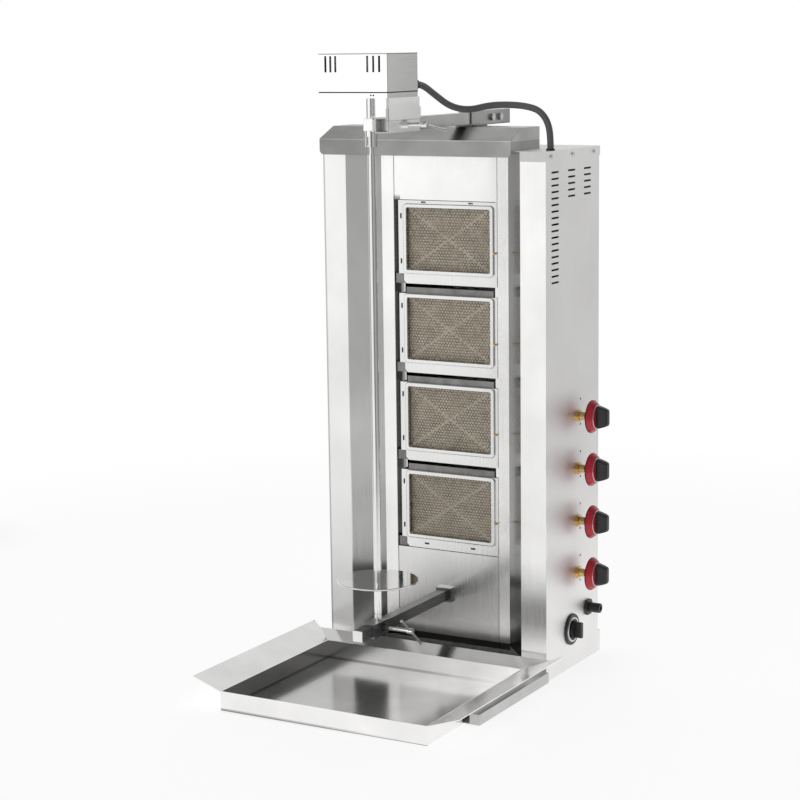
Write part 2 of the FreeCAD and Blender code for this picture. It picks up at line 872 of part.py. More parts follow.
def make_switch_knob():
    y = front + switch_y
    x = right + switch_flange + slip
    base = rod((x, y, switch_z), (1, 0, 0), switch_knob_radius, switch_knob_base)
    half = switch_bar_width / 2
    long = switch_knob_radius * 0.93
    bar = box(x + 1, x + switch_knob_base + switch_bar_height, y - half, y + half,
              switch_z - long, switch_z + long)
    edges = [e for e in bar.Edges if abs(e.tangentAt(e.FirstParameter).x) > 0.9]
    bar = bar.makeFillet(half * 0.7, edges)
    shaft = rod((right - switch_body_length * 0.5, y, switch_z), (1, 0, 0),
                switch_shaft_radius, switch_body_length * 0.5 + switch_flange + 2)
    return joined([base, bar, shaft])


def make_glands():
    """Gland for the mains lead on the side, and the grommet in the lid."""
    y = front + gland_y
    nut = hexagon_bar((right, y, gland_z), gland_nut_radius * 0.93, gland_nut_length)
    body = rod((right - 9, y, gland_z), (1, 0, 0), gland_body_radius,
               gland_nut_length + gland_body_length + 9)
    edges = [e for e in body.Edges
             if all(v.X > right + gland_nut_length + gland_body_length - 0.01
                    for v in e.Vertexes)]
    body = body.makeFillet(2.0, edges[:1])
    counter = hexagon_bar((right - sheet - 4, y, gland_z), gland_nut_radius * 0.86, 4)
    bore = rod((right - 10, y, gland_z), (1, 0, 0), gland_bore, 60)
    mains = joined([nut, body, counter]).cut(bore)
    x = cable_end_x
    y = front + cable_end_y
    grommet = joined([rod((x, y, lid_top), (0, 0, 1), grommet_radius, grommet_height),
                      rod((x, y, shell_top - 3), (0, 0, 1), cable_radius, 6)])
    return Part.makeCompound([mains, grommet])


def make_head_gland():
    """Gland for the motor cable in the back of the head cover."""
    x, z = cable_gland_x, cable_gland_z
    collar = rod((x, head_y1, z), (0, 1, 0), cable_gland_radius, cable_gland_length)
    neck = rod((x, head_y1 - 8, z), (0, 1, 0), cable_radius, 9)
    return joined([collar, neck])


def cable_points():
    """Hand-picked route of the motor cable, from the head gland to the lid grommet."""
    y = front
    start_y = head_y1 - y + cable_gland_length
    return [(cable_gland_x, y + start_y, cable_gland_z),
            (cable_gland_x, y - 102, cable_gland_z),
            (44, y - 66, 994),
            (54, y - 30, 973),
            (72, y + 2, 966.5),
            (100, y + 23, 974.5),
            (132, y + 34, 975),
            (160, y + 37.5, 972.5),
            (183, y + 38.5, 966),
            (198, y + 38.5, 949),
            (cable_end_x, y + cable_end_y, 926),
            (cable_end_x, y + cable_end_y, lid_top + grommet_height)]


def make_cable():
    points = cable_points()
    vectors = [V(*p) for p in points]
    runs = [(b - a).Length for a, b in zip(vectors, vectors[1:])]
    radii = []
    for i in range(1, len(vectors) - 1):
        turn = (vectors[i] - vectors[i - 1]).getAngle(vectors[i + 1] - vectors[i])
        radii.append(0.45 * min(runs[i - 1], runs[i]) / math.tan(turn / 2))
    path = route(points, radii)
    cable = swept(path, cable_radius)
    print("cable bend radii", [round(r) for r in radii])
    print("cable length", round(path.Length, 1), "volume over section times length",
          round(cable.Volume / (math.pi * cable_radius ** 2 * path.Length), 4))
    return cable


# Rails that carry the skewer

def square_tube(x, z, outer, inner, y0, y1):
    solid = box(x - outer, x + outer, y0, y1, z - outer, z + outer)
    return solid.cut(box(x - inner, x + inner, y0 - 1, y1 + 1, z - inner, z + inner))


def make_top_bar():
    half = top_bar_size / 2
    return box(top_bar_x - half, top_bar_x + half, front - top_bar_front, front + top_bar_rear,
               top_bar_z - half, top_bar_z + half)


def make_rail_holder():
    """Square sleeve on the hood that holds the rear of the top bar."""
    inner = top_bar_size / 2 + slide_gap
    outer = inner + holder_wall
    y0 = front + holder_front
    tube = square_tube(top_bar_x, top_bar_z, outer, inner, y0, front + holder_rear)
    foot = box(top_bar_x - outer - holder_foot_side, top_bar_x + outer + holder_foot_side,
               y0 + 2, front + hood_depth - 2, hood_roof, top_bar_z - inner)
    holes = []
    for y in holder_bolts:
        holes.append(rod((top_bar_x + inner - 1, front + y, top_bar_z), (1, 0, 0), 3.2,
                         holder_wall + 2))
    for y in holder_foot_bolts:
        holes.append(rod((top_bar_x, front + y, hood_roof - 1), (0, 0, 1), 3.2,
                         top_bar_z - inner - hood_roof + 1))
    return joined([tube, foot]).cut(Part.makeCompound(holes))


def make_lower_bar():
    half = bar_size / 2
    bar = box(skewer_x - half, skewer_x + half, front - bar_front, back - sheet,
              bar_height - half, bar_height + half)
    side = bar_collar / 2
    collar = box(skewer_x - side, skewer_x + side, wall_y - bar_collar_length, wall_y,
                 bar_height - side * 0.85, bar_height + side * 0.85)
    return joined([bar, collar])


def clamp_boss(x, y, z):
    """Threaded boss on the right face of a sleeve, and the hole through it."""
    boss = rod((x, y, z), (1, 0, 0), clamp_boss_radius, clamp_boss_length)
    hole = rod((x - 10, y, z), (1, 0, 0), clamp_radius + running_gap, clamp_boss_length + 11)
    return boss, hole


def make_bearing_block():
    """Sleeve that slides on the lower bar and carries the foot of the skewer."""
    y0 = front - block_front
    inner = bar_size / 2 + slide_gap
    tube = square_tube(skewer_x, bar_height, bar_outer, inner, y0, y0 + block_length)
    boss, hole = clamp_boss(skewer_x + bar_outer, front - lower_clamp_y, bar_height)
    socket = rod((skewer_x, skewer_y, bar_height + inner - 1), (0, 0, 1),
                 tip_pin_radius + running_gap, block_wall + 2)
    return joined([tube, boss]).cut([hole, socket])


def make_head_sleeve():
    """Sleeve on the top bar, with the plates that carry the motor head."""
    y0 = front - sleeve_front
    y1 = y0 + sleeve_length
    inner = top_bar_size / 2 + slide_gap
    top = top_bar_z + top_outer
    x1 = top_bar_x + top_outer
    x0 = top_bar_x - top_outer
    tube = square_tube(top_bar_x, top_bar_z, top_outer, inner, y0, y1)
    side = box(x1 - riser_plate, x1, y0, y1, top - 1, pan_bottom)
    strap = box(x1 - 1, x1 + strap_proud, y0 - strap_over, y1 + strap_over,
                strap_bottom, strap_top)
    strap_ends = box(x1 - riser_plate, x1 - 1, y0 - strap_over, y1 + strap_over,
                     top, strap_top)
    far_side = box(x0, x0 + riser_plate, front - web_start, y1, top - 1, pan_bottom)
    back_plate = box(x0, x1, y1 - riser_plate, y1, top - 1, pan_bottom)
    seat = box(x0 - seat_reach, x1, front - web_start, y1, pan_bottom - 2, pan_bottom)
    boss, hole = clamp_boss(x1 - 0.5, front - upper_clamp_y, top_bar_z)
    return joined([tube, side, strap, strap_ends, far_side, back_plate, seat, boss]).cut(hole)


def make_clamp_screw(x, y, z, reach):
    """Clamp screw along X with a head that has a cross hole."""
    x1 = x + reach
    shank = rod((x, y, z), (1, 0, 0), clamp_radius, reach)
    head = rod((x1 - clamp_head_length, y, z), (1, 0, 0), clamp_head_radius, clamp_head_length)
    return joined([shank, head])


def cross_direction(angle):
    turn = math.radians(angle)
    return V(0, math.cos(turn), math.sin(turn))


def cross_hole(x, y, z, angle):
    way = cross_direction(angle)
    centre = V(x, y, z)
    return Part.makeCylinder(cross_bar_radius + running_gap, 4 * clamp_head_radius,
                             centre - way * (2 * clamp_head_radius), way)


def make_cross_bar(x, y, z, angle, short_end):
    """Round bar with a ball at each end, through the head of a clamp screw."""
    way = cross_direction(angle)
    start = V(x, y, z) - way * short_end
    bar = Part.makeCylinder(cross_bar_radius, cross_bar_length, start, way)
    balls = [Part.makeSphere(cross_bar_ball, start),
             Part.makeSphere(cross_bar_ball, start + way * cross_bar_length)]
    return joined([bar] + balls)


# Motor head

def make_pan():
    """Floor of the head, with a raised edge that the cover fits over."""
    top = pan_bottom + pan_depth
    floor = box(head_left, head_right, head_y0, head_y1, pan_bottom, top)
    inset = cover_sheet + slip
    lip = box(head_left + inset, head_right - inset, head_y0 + inset, head_y1 - inset,
              pan_bottom, cover_bottom + lip_height)
    wall = inset + cover_sheet
    hollow = box(head_left + wall, head_right - wall, head_y0 + wall, head_y1 - wall,
                 pan_bottom + pan_sheet, cover_bottom + lip_height)
    hole = rod((skewer_x, skewer_y, pan_bottom - 1), (0, 0, 1), output_radius + 1.5, pan_sheet + 2)
    cable_way = rod((cable_gland_x, head_y1 - wall - 1, cable_gland_z), (0, 1, 0),
                    cable_radius + slip + 1, wall)
    dots = []
    for x in (head_left + pan_hole_side, head_left + pan_hole_side + pan_hole_pitch):
        dots.append(rod((x, head_y0 - 1, pan_bottom + pan_depth * 0.55), (0, 1, 0),
                        pan_hole_radius, wall + 2))
    return joined([floor, lip]).cut([hollow, hole, cable_way] + dots)


def make_cover():
    outer = box(head_left, head_right, head_y0, head_y1, cover_bottom, cover_top)
    inner = box(head_left + cover_sheet, head_right - cover_sheet, head_y0 + cover_sheet,
                head_y1 - cover_sheet, cover_bottom, cover_top - cover_sheet)
    cuts = [inner]
    for start, pitch in zip(cover_slot_groups, cover_slot_pitches):
        for i in range(3):
            x = head_left + start + i * pitch
            top = cover_top - cover_slot_drop
            cuts.append(box(x, x + cover_slot_width, head_y0 - 1, head_y0 + cover_sheet + 1,
                            top - cover_slot_height, top))
    cuts.append(rod((cable_gland_x, head_y1 - 2 * cover_sheet, cable_gland_z), (0, 1, 0),
                    cable_radius + slip, 3 * cover_sheet))
    return outer.cut(cuts)


def gear_outline(teeth, x, y, z, turn):
    """Toothed outline with slim straight-sided teeth that mesh without touching."""
    pitch = gear_module * teeth / 2
    root = pitch - 1.25 * gear_module
    tip = pitch + 0.85 * gear_module
    step = 2 * math.pi / teeth
    points = []
    for i in range(teeth):
        middle = turn + i * step
        for radius, share in ((root, -0.30), (tip, -0.11), (tip, 0.11), (root, 0.30)):
            angle = middle + share * step
            points.append(V(x + radius * math.cos(angle), y + radius * math.sin(angle), z))
    return Part.Face(Part.makePolygon(points + points[:1])).extrude(V(0, 0, gear_face))


gear_z = pan_bottom + pan_sheet + case_wall + 5
pinion_x = skewer_x + gear_module * (pinion_teeth + wheel_teeth) / 2
case_bottom = pan_bottom + pan_sheet
case_top = case_bottom + case_height


def make_gear_motor():
    """Gear case with the motor on top of it."""
    wheel = gear_module * wheel_teeth / 2 + gear_module
    x0 = skewer_x - wheel - case_margin
    x1 = pinion_x + gear_module * pinion_teeth / 2 + case_margin
    y0 = skewer_y - wheel - case_margin
    y1 = skewer_y + wheel + case_margin
    case = box(x0, x1, y0, y1, case_bottom, case_top)
    hollow = box(x0 + case_wall, x1 - case_wall, y0 + case_wall, y1 - case_wall,
                 case_bottom + case_wall, case_top - case_wall)
    can = rod((pinion_x, skewer_y, case_top - 1), (0, 0, 1),
              motor_radius, motor_height + 1)
    lower_bore = rod((skewer_x, skewer_y, case_bottom - 1), (0, 0, 1),
                     output_radius + running_gap, case_wall + 2)
    upper_bore = rod((pinion_x, skewer_y, case_top - case_wall - 1), (0, 0, 1),
                     motor_shaft_radius + running_gap, case_wall + 15)
    return joined([case.cut(hollow), can]).cut([lower_bore, upper_bore])


def make_pinion():
    gear = gear_outline(pinion_teeth, pinion_x, skewer_y, gear_z, math.pi)
    shaft = rod((pinion_x, skewer_y, case_bottom + case_wall + 1), (0, 0, 1),
                motor_shaft_radius, case_top + 10 - case_bottom - case_wall - 1)
    return joined([gear, shaft])


tube_top = pan_bottom - 2.0
tube_bottom = tube_top - coupling_tube_length
cube_bottom = tube_bottom - coupling_cube_height
sleeve_bottom = cube_bottom - coupling_sleeve_length


def make_output_shaft():
    """Output wheel on its shaft, which reaches down into the coupling tube."""
    half_step = math.pi / wheel_teeth
    gear = gear_outline(wheel_teeth, skewer_x, skewer_y, gear_z, half_step)
    bottom = tube_bottom + 4
    shaft = rod((skewer_x, skewer_y, bottom), (0, 0, 1), output_radius,
                gear_z + gear_face + 4 - bottom)
    floor = case_bottom + case_wall + slip
    shoulder = rod((skewer_x, skewer_y, floor), (0, 0, 1), output_radius + 3, gear_z - floor)
    hole = rod((skewer_x, skewer_y - 20, tube_top - 8), (0, 1, 0), coupling_pin_radius + slip, 40)
    return joined([gear, shaft, shoulder]).cut(hole)


def make_coupling():
    """Tube on the motor shaft, square grip block and slotted sleeve for the skewer."""
    centre = (skewer_x, skewer_y)
    tube = rod((*centre, tube_bottom), (0, 0, 1), coupling_tube_radius, coupling_tube_length)
    half = coupling_cube / 2
    cube = box(skewer_x - half, skewer_x + half, skewer_y - half, skewer_y + half,
               cube_bottom, tube_bottom)
    cube = cube.makeChamfer(1.6, cube.Edges)
    sleeve = rod((*centre, sleeve_bottom), (0, 0, 1), coupling_sleeve_radius,
                 coupling_sleeve_length + 1)
    shaft_bore = rod((*centre, tube_bottom + 3), (0, 0, 1), output_radius + coupling_gap,
                     coupling_tube_length)
    pin = rod((skewer_x, skewer_y - coupling_tube_radius, tube_top - 8), (0, 1, 0),
              coupling_pin_radius, 2 * coupling_tube_radius)
    neck_bore = rod((*centre, sleeve_bottom - 1), (0, 0, 1), neck_radius + coupling_gap,
                    rod_top + neck_length + lift_travel + 3 - sleeve_bottom + 1)
    mouth = rod((*centre, sleeve_bottom - 1), (0, 0, 1), skewer_radius + slip,
                rod_top + lift_travel + 2 - sleeve_bottom + 1)
    slot_top = rod_top + drive_pin_height + lift_travel + drive_pin_radius + 1
    half_slot = drive_pin_radius + slip
    pin_slot = box(skewer_x - half_slot, skewer_x + half_slot, skewer_y - 20, skewer_y + 20,
                   sleeve_bottom - 1, slot_top)
    body = joined([tube, cube, sleeve]).cut([shaft_bore, neck_bore, mouth, pin_slot])
    return joined([body, pin])


def make_skewer():
    """Skewer rod with its foot, the stop pin of the meat disc and the drive pin."""
    centre = (skewer_x, skewer_y)
    foot = foot_z + slip
    pin = rod((*centre, foot - tip_pin_length), (0, 0, 1), tip_pin_radius, tip_pin_length + 1)
    tip = rod((*centre, foot), (0, 0, 1), tip_radius, tip_length)
    groove = rod((*centre, foot + tip_length * 0.55), (0, 0, 1), tip_radius + 1, 2).cut(
        rod((*centre, foot + tip_length * 0.55), (0, 0, 1), tip_radius - 1, 2))
    shaft = rod((*centre, foot + tip_length), (0, 0, 1), skewer_radius,
                rod_top - foot - tip_length)
    neck = rod((*centre, rod_top - 1), (0, 0, 1), neck_radius, neck_length + 1)
    drive = rod((skewer_x, skewer_y - coupling_sleeve_radius, rod_top + drive_pin_height),
                (0, 1, 0), drive_pin_radius, 2 * coupling_sleeve_radius)
    stop = rod((skewer_x - 11, skewer_y, disc_height - stop_pin_radius - slip), (1, 0, 0),
               stop_pin_radius, 22)
    return joined([pin, tip.cut(groove), shaft, neck, drive, stop])


def make_disc():
    """Thin meat disc with one radial slot."""
    disc = rod((skewer_x, skewer_y, disc_height), (0, 0, 1), disc_radius, disc_thickness)
    edges = [e for e in disc.Edges if len(e.Vertexes) == 1 and e.Length > disc_radius]
    disc = disc.makeFillet(disc_thickness * 0.3, edges)
    bore = rod((skewer_x, skewer_y, disc_height - 1), (0, 0, 1), skewer_radius + slip,
               disc_thickness + 2)
    half = disc_slot_width / 2
    cut = box(skewer_x + disc_radius - disc_slot_length - 8, skewer_x + disc_radius - 8,
              skewer_y - half, skewer_y + half, disc_height - 1, disc_height + disc_thickness + 1)
    cut.rotate(V(skewer_x, skewer_y, 0), V(0, 0, 1), disc_slot_angle)
    return disc.cut([bore, cut])


# Drip tray

def make_drip_tray():
    """Open tray with sloping flaps at both sides and at the back."""
    z0 = runner_thickness + slip
    half = tray_width / 2
    y0 = front - tray_front
    y1 = front - tray_rear_gap
    z1 = tray_height
    outer = box(-half, half, y0, y1, z0, z1)
    inner = box(-half + tray_sheet, half - tray_sheet, y0 + tray_sheet, y1 - tray_sheet,
                z0 + tray_sheet, z1)
    corner_out = side_flap_out * rear_flap_up / side_flap_up
    flaps = []
    for side in (-1, 1):
        def at(out, y):
            return V(side * (half + out), y, z1 + out * side_flap_up / side_flap_out)
        ring = [at(0, y0), at(0, y1), at(corner_out, y1 + rear_flap_back),
                at(side_flap_out, front - flap_rear_gap), at(side_flap_out, y0 + 2)]
        flaps.append(Part.Face(Part.makePolygon(ring + ring[:1])).extrude(V(0, 0, -tray_sheet)))
    ring = [V(-half, y1, z1), V(half, y1, z1),
            V(half + corner_out, y1 + rear_flap_back, z1 + rear_flap_up),
            V(-half - corner_out, y1 + rear_flap_back, z1 + rear_flap_up)]
    flaps.append(Part.Face(Part.makePolygon(ring + ring[:1])).extrude(V(0, 0, -tray_sheet)))
    return joined([outer.cut(inner)] + flaps)


# Screws

def make_screws():
    """Lid screws, the two bolts of the rail holder and the bolts of its foot."""
    screws = []
    for y in lid_screw_places:
        at = (right + sheet, front + y, lid_top - lid_screw_drop)
        head = rod(at, (1, 0, 0), 3.4, 2.0)
        shank = rod((at[0] - 8, at[1], at[2]), (1, 0, 0), 1.9, 8.5)
        screws.append(joined([head, shank]))
    inner = top_bar_size / 2 + slide_gap
    for y in holder_bolts:
        x = top_bar_x + inner
        head = hexagon_bar((x + holder_wall, front + y, top_bar_z), 5.8, 4.5)
        shank = rod((x, front + y, top_bar_z), (1, 0, 0), 3.0, holder_wall + 1)
        screws.append(joined([head, shank]))
    for y in holder_foot_bolts:
        top = top_bar_z - inner
        shank = rod((top_bar_x, front + y, hood_roof - sheet - 5), (0, 0, 1), 3.0,
                    top - hood_roof + sheet + 5)
        nut = rod((top_bar_x, front + y, hood_roof - sheet - 4), (0, 0, 1), 5.0, 4.0)
        screws.append(joined([shank, nut]))
    return Part.makeCompound(screws)


# Write every sub-part
save("base_pan", make_base())
save("support_rail_left", make_support_rail(-1))
save("support_rail_right", make_support_rail(1))
save("left_column", make_left_column())
save("right_column", make_right_column())
save("left_side_panel", side_sheet(left, 1))
save("right_side_panel", make_right_side())
save("back_panel", make_back())
save("control_box_wall", make_control_wall())
save("control_box_lid", make_lid())
save("hood", make_hood())
save("bay_frame", make_bay_frame())
save("upper_front_panel", front_sheet(panel_left, first_frame_top + seam, shell_top))
save("lower_front_panel", make_lower_panel())
for number in range(burner_count):
    label = str(number + 1)
    save("burner_frame_" + label, make_burner_frame(number))
    save("burner_screen_" + label, make_screen(number))
    save("valve_stem_" + label, make_stem(tap_places[number]))
    save("gas_knob_" + label, make_knob(tap_places[number]))
save("burner_bodies", Part.makeCompound([burner_body(i) for i in range(burner_count)]))
save("burner_ceramics", make_tiles())
save("flame_sensors", make_sensors())
save("gas_manifold", make_manifold())
save("gas_taps", make_taps())
save("gas_pipes", make_pipes())
save("rotary_switch", make_switch())
save("switch_knob", make_switch_knob())
save("cable_glands", make_glands())
save("top_bar", make_top_bar())
save("rail_holder", make_rail_holder())
save("lower_bar", make_lower_bar())
save("bearing_block", make_bearing_block())
save("head_sleeve", make_head_sleeve())
save("motor_pan", make_pan())
save("motor_cover", make_cover())
save("head_gland", make_head_gland())
save("gear_motor", make_gear_motor())
save("motor_pinion", make_pinion())
save("output_shaft", make_output_shaft())
save("skewer_coupling", make_coupling())
save("skewer_rod", make_skewer())
save("meat_disc", make_disc())
save("drip_tray", make_drip_tray())
save("motor_cable", make_cable())
save("screws_and_bolts", make_screws())

clamps = {
    "upper": (top_bar_x + top_bar_size / 2 + slip, upper_clamp_y, top_bar_z,
              upper_clamp_reach, upper_bar_angle, upper_bar_short_end),
    "lower": (skewer_x + bar_size / 2 + slip, lower_clamp_y, bar_height,
              lower_clamp_reach, lower_bar_angle, lower_bar_short_end),
}
for label, (x, y, z, reach, angle, short_end) in clamps.items():
    hole_x = x + reach - clamp_head_length / 2
    screw = make_clamp_screw(x, front - y, z, reach)
    save(label + "_clamp_screw", screw.cut(cross_hole(hole_x, front - y, z, angle)))
    save(label + "_cross_bar", make_cross_bar(hole_x, front - y, z, angle, short_end))
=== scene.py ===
# %% [markdown]
# A gas doner kebab grill, dressed for a studio picture. The imported solids already have the right
# shapes, so this lesson is mostly about stainless steel: how sheet metal looks is decided by its
# grain, its small waves and what it reflects, and here also by shade and highlights painted into
# its colour. A few small pieces are built anew, because they show more detail than a solid needs:
# the burner nets, the knobs, the motor cable and the trims, among them a black strip of painted
# shadow.

# %% Load the imported grill
import bpy
import math
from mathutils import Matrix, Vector


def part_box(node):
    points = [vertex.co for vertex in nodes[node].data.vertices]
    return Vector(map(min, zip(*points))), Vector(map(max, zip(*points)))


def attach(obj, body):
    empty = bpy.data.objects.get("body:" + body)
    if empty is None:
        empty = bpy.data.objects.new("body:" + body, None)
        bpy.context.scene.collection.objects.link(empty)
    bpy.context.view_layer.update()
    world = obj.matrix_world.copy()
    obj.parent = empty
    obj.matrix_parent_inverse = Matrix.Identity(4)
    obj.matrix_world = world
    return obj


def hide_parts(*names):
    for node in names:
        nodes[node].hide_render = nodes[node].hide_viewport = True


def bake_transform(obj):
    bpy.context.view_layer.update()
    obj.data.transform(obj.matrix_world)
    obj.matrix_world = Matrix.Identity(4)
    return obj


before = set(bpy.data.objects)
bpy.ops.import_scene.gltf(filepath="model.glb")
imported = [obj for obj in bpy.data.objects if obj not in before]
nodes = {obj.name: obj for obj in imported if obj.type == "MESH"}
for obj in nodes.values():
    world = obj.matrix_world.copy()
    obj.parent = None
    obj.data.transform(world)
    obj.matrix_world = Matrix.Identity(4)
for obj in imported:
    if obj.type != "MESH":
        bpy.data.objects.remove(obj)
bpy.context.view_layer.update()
FRONT = -0.106            # the front plane of the cabinet
print("pieces from the solids:", len(nodes))

# %% [markdown]
# The camera comes first. A product photographer stands far back with a long lens, so upright edges
# stay almost parallel. A camera can be aimed at an empty, but here its place and its turn were
# worked out from the straight edges of the cabinet, so setting both in numbers is more exact.

# %% Place the camera
view = bpy.data.cameras.new("studio_camera")
view.lens = 94.43
view.sensor_width = 36.0
view.clip_end = 50.0
camera = bpy.data.objects.new("studio_camera", view)
camera.location = (1.70719, -3.2201, 1.08269)
camera.rotation_euler = (1.400964, 0.012771, 0.515536)
bpy.context.scene.collection.objects.link(camera)
bpy.context.scene.camera = camera
bpy.context.scene.view_settings.view_transform = "Standard"
print("lens", view.lens, "mm")

# %% [markdown]
# A material needs a handful of linked nodes. Adding them by hand takes three lines each, so two
# small functions do it for any node tree: one adds a node with its settings and values, and one
# links two sockets. Each finish further down then reads as a list of what the surface is made of.

# %% Helpers for node trees
def node_tools(tree):
    """Functions that add a node to this tree and link two of its sockets."""
    def add(kind, settings=(), **inputs):
        node = tree.nodes.new("ShaderNode" + kind)
        for key, value in dict(settings).items():
            setattr(node, key, value)
        for key, value in inputs.items():
            node.inputs[key.replace("_", " ")].default_value = value
        return node

    def link(output, target):
        tree.links.new(output, target)

    return add, link


def new_material(name, **sockets):
    """A material with one Principled shader, and the functions for its tree."""
    material = bpy.data.materials.new(name)
    material.use_nodes = True
    shader = material.node_tree.nodes["Principled BSDF"]
    for socket, value in sockets.items():
        shader.inputs[socket.replace("_", " ")].default_value = value
    return (material, shader) + node_tools(material.node_tree)


def two_tones(add, first, last, first_at=0.0, last_at=1.0):
    """A colour ramp from one colour to another."""
    ramp = add("ValToRGB")
    for stop, colour, at in zip(ramp.color_ramp.elements, (first, last), (first_at, last_at)):
        stop.color = (*colour, 1)
        stop.position = at
    return ramp


print("helpers ready for node trees")

# %% [markdown]
# Folded sheet is never one even grey in a picture: shade falls in recesses, low down and on faces
# turned away, and along a fold it shows a fine dark or bright line. Here that light and shade is
# painted into the colour of the steel. It could be painted on a picture, but a picture would have
# to be fitted to each face. A zone is simpler. It is a factor for the tone and a few ramps along X,
# Y or Z, and it holds where all its ramps are at one. The ramps use the place on the object, so a
# zone of painted shade or highlight stays where it is, seen from any side.

# %% Zones of painted shade and painted highlight
def painted_light_factor(add, link, place, painted_light):
    """Painted shade or highlight as one grey factor, from a list of (factor, ((axis, zero_at,
    one_at), ...)).
    """
    def product(first, second):
        if first is None:
            return second
        times = add("Math", dict(operation="MULTIPLY"))
        link(first, times.inputs[0])
        link(second, times.inputs[1])
        return times.outputs["Value"]

    split = add("SeparateXYZ")
    link(place.outputs["Object"], split.inputs[0])
    factors = None
    for factor, ramps in painted_light:
        share = None
        for axis, zero_at, one_at in ramps:
            ramp = add("MapRange", From_Min=zero_at, From_Max=one_at)
            link(split.outputs["XYZ".index(axis)], ramp.inputs["Value"])
            share = product(share, ramp.outputs["Result"])
        scale = add("MapRange", dict(clamp=False), To_Min=1.0, To_Max=factor)
        link(share, scale.inputs["Value"])
        factors = product(factors, scale.outputs["Result"])
    return factors


print("a zone can follow X, Y and Z")

# %% [markdown]
# Sheet steel is brushed in one direction, so its surface is full of very fine parallel scratches.
# They could be drawn as lines, but a noise that is stretched along the grain does it better: it has
# no repeat. One stretched noise drives the roughness, a second, larger one gives the slight clouds
# that handling and rolling leave, and a low one makes the sheet a little wavy, so that reflections
# bend the way they do in thin sheet.

# %% Stainless steel
STEEL_TINT = (1.0, 0.995, 0.985)
SCRATCHES = 0.10          # how far the roughness swings from scratch to scratch


def stainless(name, tone, rough, grain=(900, 900, 12), clouds=0.06, waves=0.02, painted_light=()):
    material, shader, add, link = new_material(name, Metallic=1.0, Roughness=rough)
    place = add("TexCoord")
    stretch = add("Mapping", Scale=grain)
    link(place.outputs["Object"], stretch.inputs["Vector"])
    lines = add("TexNoise", Scale=1.0, Detail=3.0, Roughness=0.6)
    link(stretch.outputs["Vector"], lines.inputs["Vector"])
    cloud = add("TexNoise", Scale=9.0, Detail=4.0, Roughness=0.55)
    link(place.outputs["Object"], cloud.inputs["Vector"])

    spread = add("MapRange", From_Min=0.25, From_Max=0.75,
                 To_Min=rough - SCRATCHES * 0.5, To_Max=rough + SCRATCHES * 0.5)
    link(lines.outputs["Fac"], spread.inputs["Value"])
    link(spread.outputs["Result"], shader.inputs["Roughness"])

    low, high = tone * (1 - clouds), min(1.0, tone * (1 + clouds))
    shade = two_tones(add, [low * c for c in STEEL_TINT], [high * c for c in STEEL_TINT], 0.3, 0.7)
    link(cloud.outputs["Fac"], shade.inputs["Fac"])
    colour = shade.outputs["Color"]
    # The zones paint shade and highlights into the colour: the tone is multiplied by their factor.
    if painted_light:
        varied = add("VectorMath", dict(operation="SCALE"))
        link(colour, varied.inputs[0])
        link(painted_light_factor(add, link, place, painted_light), varied.inputs["Scale"])
        colour = varied.outputs["Vector"]
    link(colour, shader.inputs["Base Color"])

    fine = add("Bump", Strength=0.12, Distance=0.0002)
    link(lines.outputs["Fac"], fine.inputs["Height"])
    swell = add("TexNoise", Scale=5.0, Detail=1.0)
    link(place.outputs["Object"], swell.inputs["Vector"])
    wavy = add("Bump", Strength=waves * 10, Distance=0.002)
    link(swell.outputs["Fac"], wavy.inputs["Height"])
    link(fine.outputs["Normal"], wavy.inputs["Normal"])
    link(wavy.outputs["Normal"], shader.inputs["Normal"])
    return material


print("tint of the steel:", STEEL_TINT)

# %% [markdown]
# These are the places where shade or a highlight is painted into the steel. Some turn up in several
# zones, such as the metal just behind the front faces or the top edge of the motor cover. Others
# are a whole patch or a thin fold. Their numbers could stand in the finishes, but with names the
# finishes are easier to read. All are in metres on the grill itself.

# %% Places of painted shade and highlight on the sheets
BEHIND_FRONT = ("Y", -0.1055, -0.1040)
PANEL_FOOT_SHADOW = ("Z", 0.0425, 0.0410)
COVER_RIGHT = ("X", 0.0484, 0.0489)
COVER_TOP = ("Z", 1.0610, 1.0618)
TRAY_FLOOR = ("Z", 0.0065, 0.0045)
HOOD_SLOPE = ("Z", 0.918, 0.9185)
HOOD_FOLD_HIGHLIGHT = (("Z", 0.9152, 0.9162), ("Z", 0.9184, 0.9174))
BAY_EDGE_SHADE = (("X", -0.1045, -0.1035), ("X", -0.0900, -0.0915),
            ("Z", 0.190, 0.196), ("Z", 0.820, 0.814))
SLEEVE_SEAM_SHADE = (("Z", 0.9565, 0.9572), ("Z", 0.9584, 0.9577))
TOP_BAR_SHADOW = (("Z", 0.9416, 0.9408), ("Z", 0.930, 0.935))
LOWER_BAR_SIDE_SHADE = (("Z", 0.1292, 0.1286), ("Y", -0.3585, -0.3580))
print("bend on top of the motor cover from", COVER_TOP[1], "to", COVER_TOP[2], "m")

# %% [markdown]
# The columns of the cabinet are bright, its sides are blasted a little, and the hood has gone dull.
# They could all share one steel, but then the folds, recesses and low parts would lack the shade
# and glints they show. So each kind of sheet gets a tone, a roughness and zones of painted shade
# and painted highlight for the places that differ.

# %% Steel of the cabinet
ALONG_X, ALONG_Y = (12, 900, 900), (900, 12, 900)
finish = {}
# Painted shade on the column: its sides just behind the front are darker low down, the column
# darkens towards its foot with a darker band there, and a dark line runs along its outer front
# corner.
finish["column"] = stainless(
    "column_sheet", 0.81, 0.20, waves=0.03,
    painted_light=((0.60, (BEHIND_FRONT, ("Z", 0.42, 0.29))),
           (0.72, (BEHIND_FRONT, ("Z", 0.165, 0.150))),
           (0.84, (("Z", 0.40, 0.12),)),
           (0.84, (("Z", 0.20, 0.11), ("Z", 0.045, 0.06))),
           (0.60, (("X", -0.2095, -0.2115), ("Y", -0.1050, -0.1056)))))
